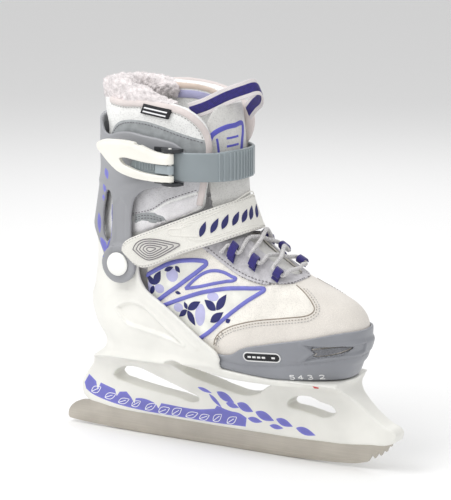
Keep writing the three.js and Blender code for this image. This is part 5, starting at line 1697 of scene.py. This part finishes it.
def make_laces():
    for side, spots in LOOPS.items():
        for k, (x, y) in enumerate(spots):
            label = SIDE_NAMES[side]
            inner = y - side * 3.4
            outer = y + side * 4.2
            low = LACE_LIFT - LACE_RADIUS - 1.0
            high = LACE_LIFT + LACE_RADIUS + 1.3
            line = path([over_upper(x, outer - side * 1.6, low), over_upper(x, y, low),
                         over_upper(x, inner + side * 1.4, low),
                         over_upper(x, inner - side * 0.9, LACE_LIFT),
                         over_upper(x, inner + side * 1.4, high), over_upper(x, y, high),
                         over_upper(x, outer - side * 1.9, high - 0.9)], 0.6)
            ahead = over_upper(x + 3, y, 0) - over_upper(x - 3, y, 0)
            ahead /= np.linalg.norm(ahead)
            band = ribbon(f"lace_loop_{label}_{k + 1}_webbing", line, ahead,
                          lambda t: (LOOP_WIDTH / 2, -LOOP_WIDTH / 2), 0.9)
            dress(band, "slider", WEBBING_NAVY,
                  [f"lace_loop_{label}_{k + 1}"])
    points = []

    def through(spot, sign):
        reach = LOOP_WIDTH / 2 + 0.6
        for step in (-1, 0, 1):
            points.append(over_upper(spot[0] + sign * step * reach,
                                     spot[1] - math.copysign(1.6, spot[1]), LACE_LIFT))

    def across(start, end, lift):
        for t in (0.3, 0.5, 0.7):
            x = start[0] + (end[0] - start[0]) * t
            y = start[1] + (end[1] - start[1]) * t
            points.append(over_upper(x, y, lift + (0.4 if t == 0.5 else 0)))

    near, far = LOOPS[LATERAL], LOOPS[MEDIAL]
    points.append(over_upper(15.5, -27.4, 4.4))
    through(near[0], 1)
    across(near[0], far[1], 3.4)
    through(far[1], 1)
    across(far[1], near[2], 7.2)
    through(near[2], 1)
    points.extend([over_upper(63.5, -11, 4.6), over_upper(65, 0, 3.8),
                   over_upper(63.5, 7.5, 4.6)])
    through(far[2], -1)
    across(far[2], near[1], 3.4)
    through(near[1], -1)
    across(near[1], far[0], 6.6)
    through(far[0], -1)
    points.append(over_upper(15.5, 27.0, 4.4))
    line = centripetal(points, 0.7)
    lace = tube("lace_cord", line, LACE_RADIUS * 0.86, 12)
    strands = []
    for turn in (1, -1):                 # two sets of strands plaited over the core
        for k in range(4):
            strands.append(strand(line, LACE_RADIUS * 0.78, turn, k * math.pi / 2, 6.5))
    join(lace, *strands)
    smooth_shaded(lace)
    dress(lace, "slider", LACE_GREY, ["lace"])


def centripetal(points, step):
    """Smooth path through points, as the CAD lace has it."""
    p = np.asarray(points, float)
    p = np.vstack([2 * p[0] - p[1], p, 2 * p[-1] - p[-2]])
    dense = []
    for i in range(1, len(p) - 2):
        a, b, c, d = p[i - 1: i + 3]
        t0 = 0.0
        t1 = t0 + np.linalg.norm(b - a) ** 0.5
        t2 = t1 + np.linalg.norm(c - b) ** 0.5
        t3 = t2 + np.linalg.norm(d - c) ** 0.5
        for t in np.linspace(t1, t2, 24, endpoint=False):
            ab = (t1 - t) / (t1 - t0) * a + (t - t0) / (t1 - t0) * b
            bc = (t2 - t) / (t2 - t1) * b + (t - t1) / (t2 - t1) * c
            cd = (t3 - t) / (t3 - t2) * c + (t - t2) / (t3 - t2) * d
            abc = (t2 - t) / (t2 - t0) * ab + (t - t0) / (t2 - t0) * bc
            bcd = (t3 - t) / (t3 - t1) * bc + (t - t1) / (t3 - t1) * cd
            dense.append((t2 - t) / (t2 - t1) * abc + (t - t1) / (t2 - t1) * bcd)
    dense = np.array(dense + [p[-2]])
    run = lengths(dense)
    return sample(dense, run, np.linspace(0, run[-1], int(run[-1] / step)))


def strand(line, reach, turn, start, lay):
    """One thread wound round a cord's path; lay is the length of one turn."""
    along = np.gradient(line, axis=0)
    along /= np.linalg.norm(along, axis=1)[:, None]
    side = np.cross(along[0], (0.1, 0.2, 1.0))
    run = 0.0
    spots = []
    for i, point in enumerate(line):
        side = side - along[i] * (side @ along[i])
        side /= np.linalg.norm(side)
        lift = np.cross(along[i], side)
        if i:
            run += np.linalg.norm(point - line[i - 1])
        angle = start + turn * run / lay * 2 * math.pi
        spots.append(point + reach * (math.cos(angle) * side + math.sin(angle) * lift))
    return tube("strand", np.array(spots), LACE_RADIUS * 0.32, 6)


# ---- the whole skate ---------------------------------------------------------------------------
make_camera()
make_blade()
make_shell()
make_pivots()
make_inner()
make_cuff()
make_collar()
make_buckle_base()
make_lever()
make_cuff_strap()
make_instep_strap()
make_toe_shell()
make_upper()
make_laces()
paint_hardware()
make_stage()
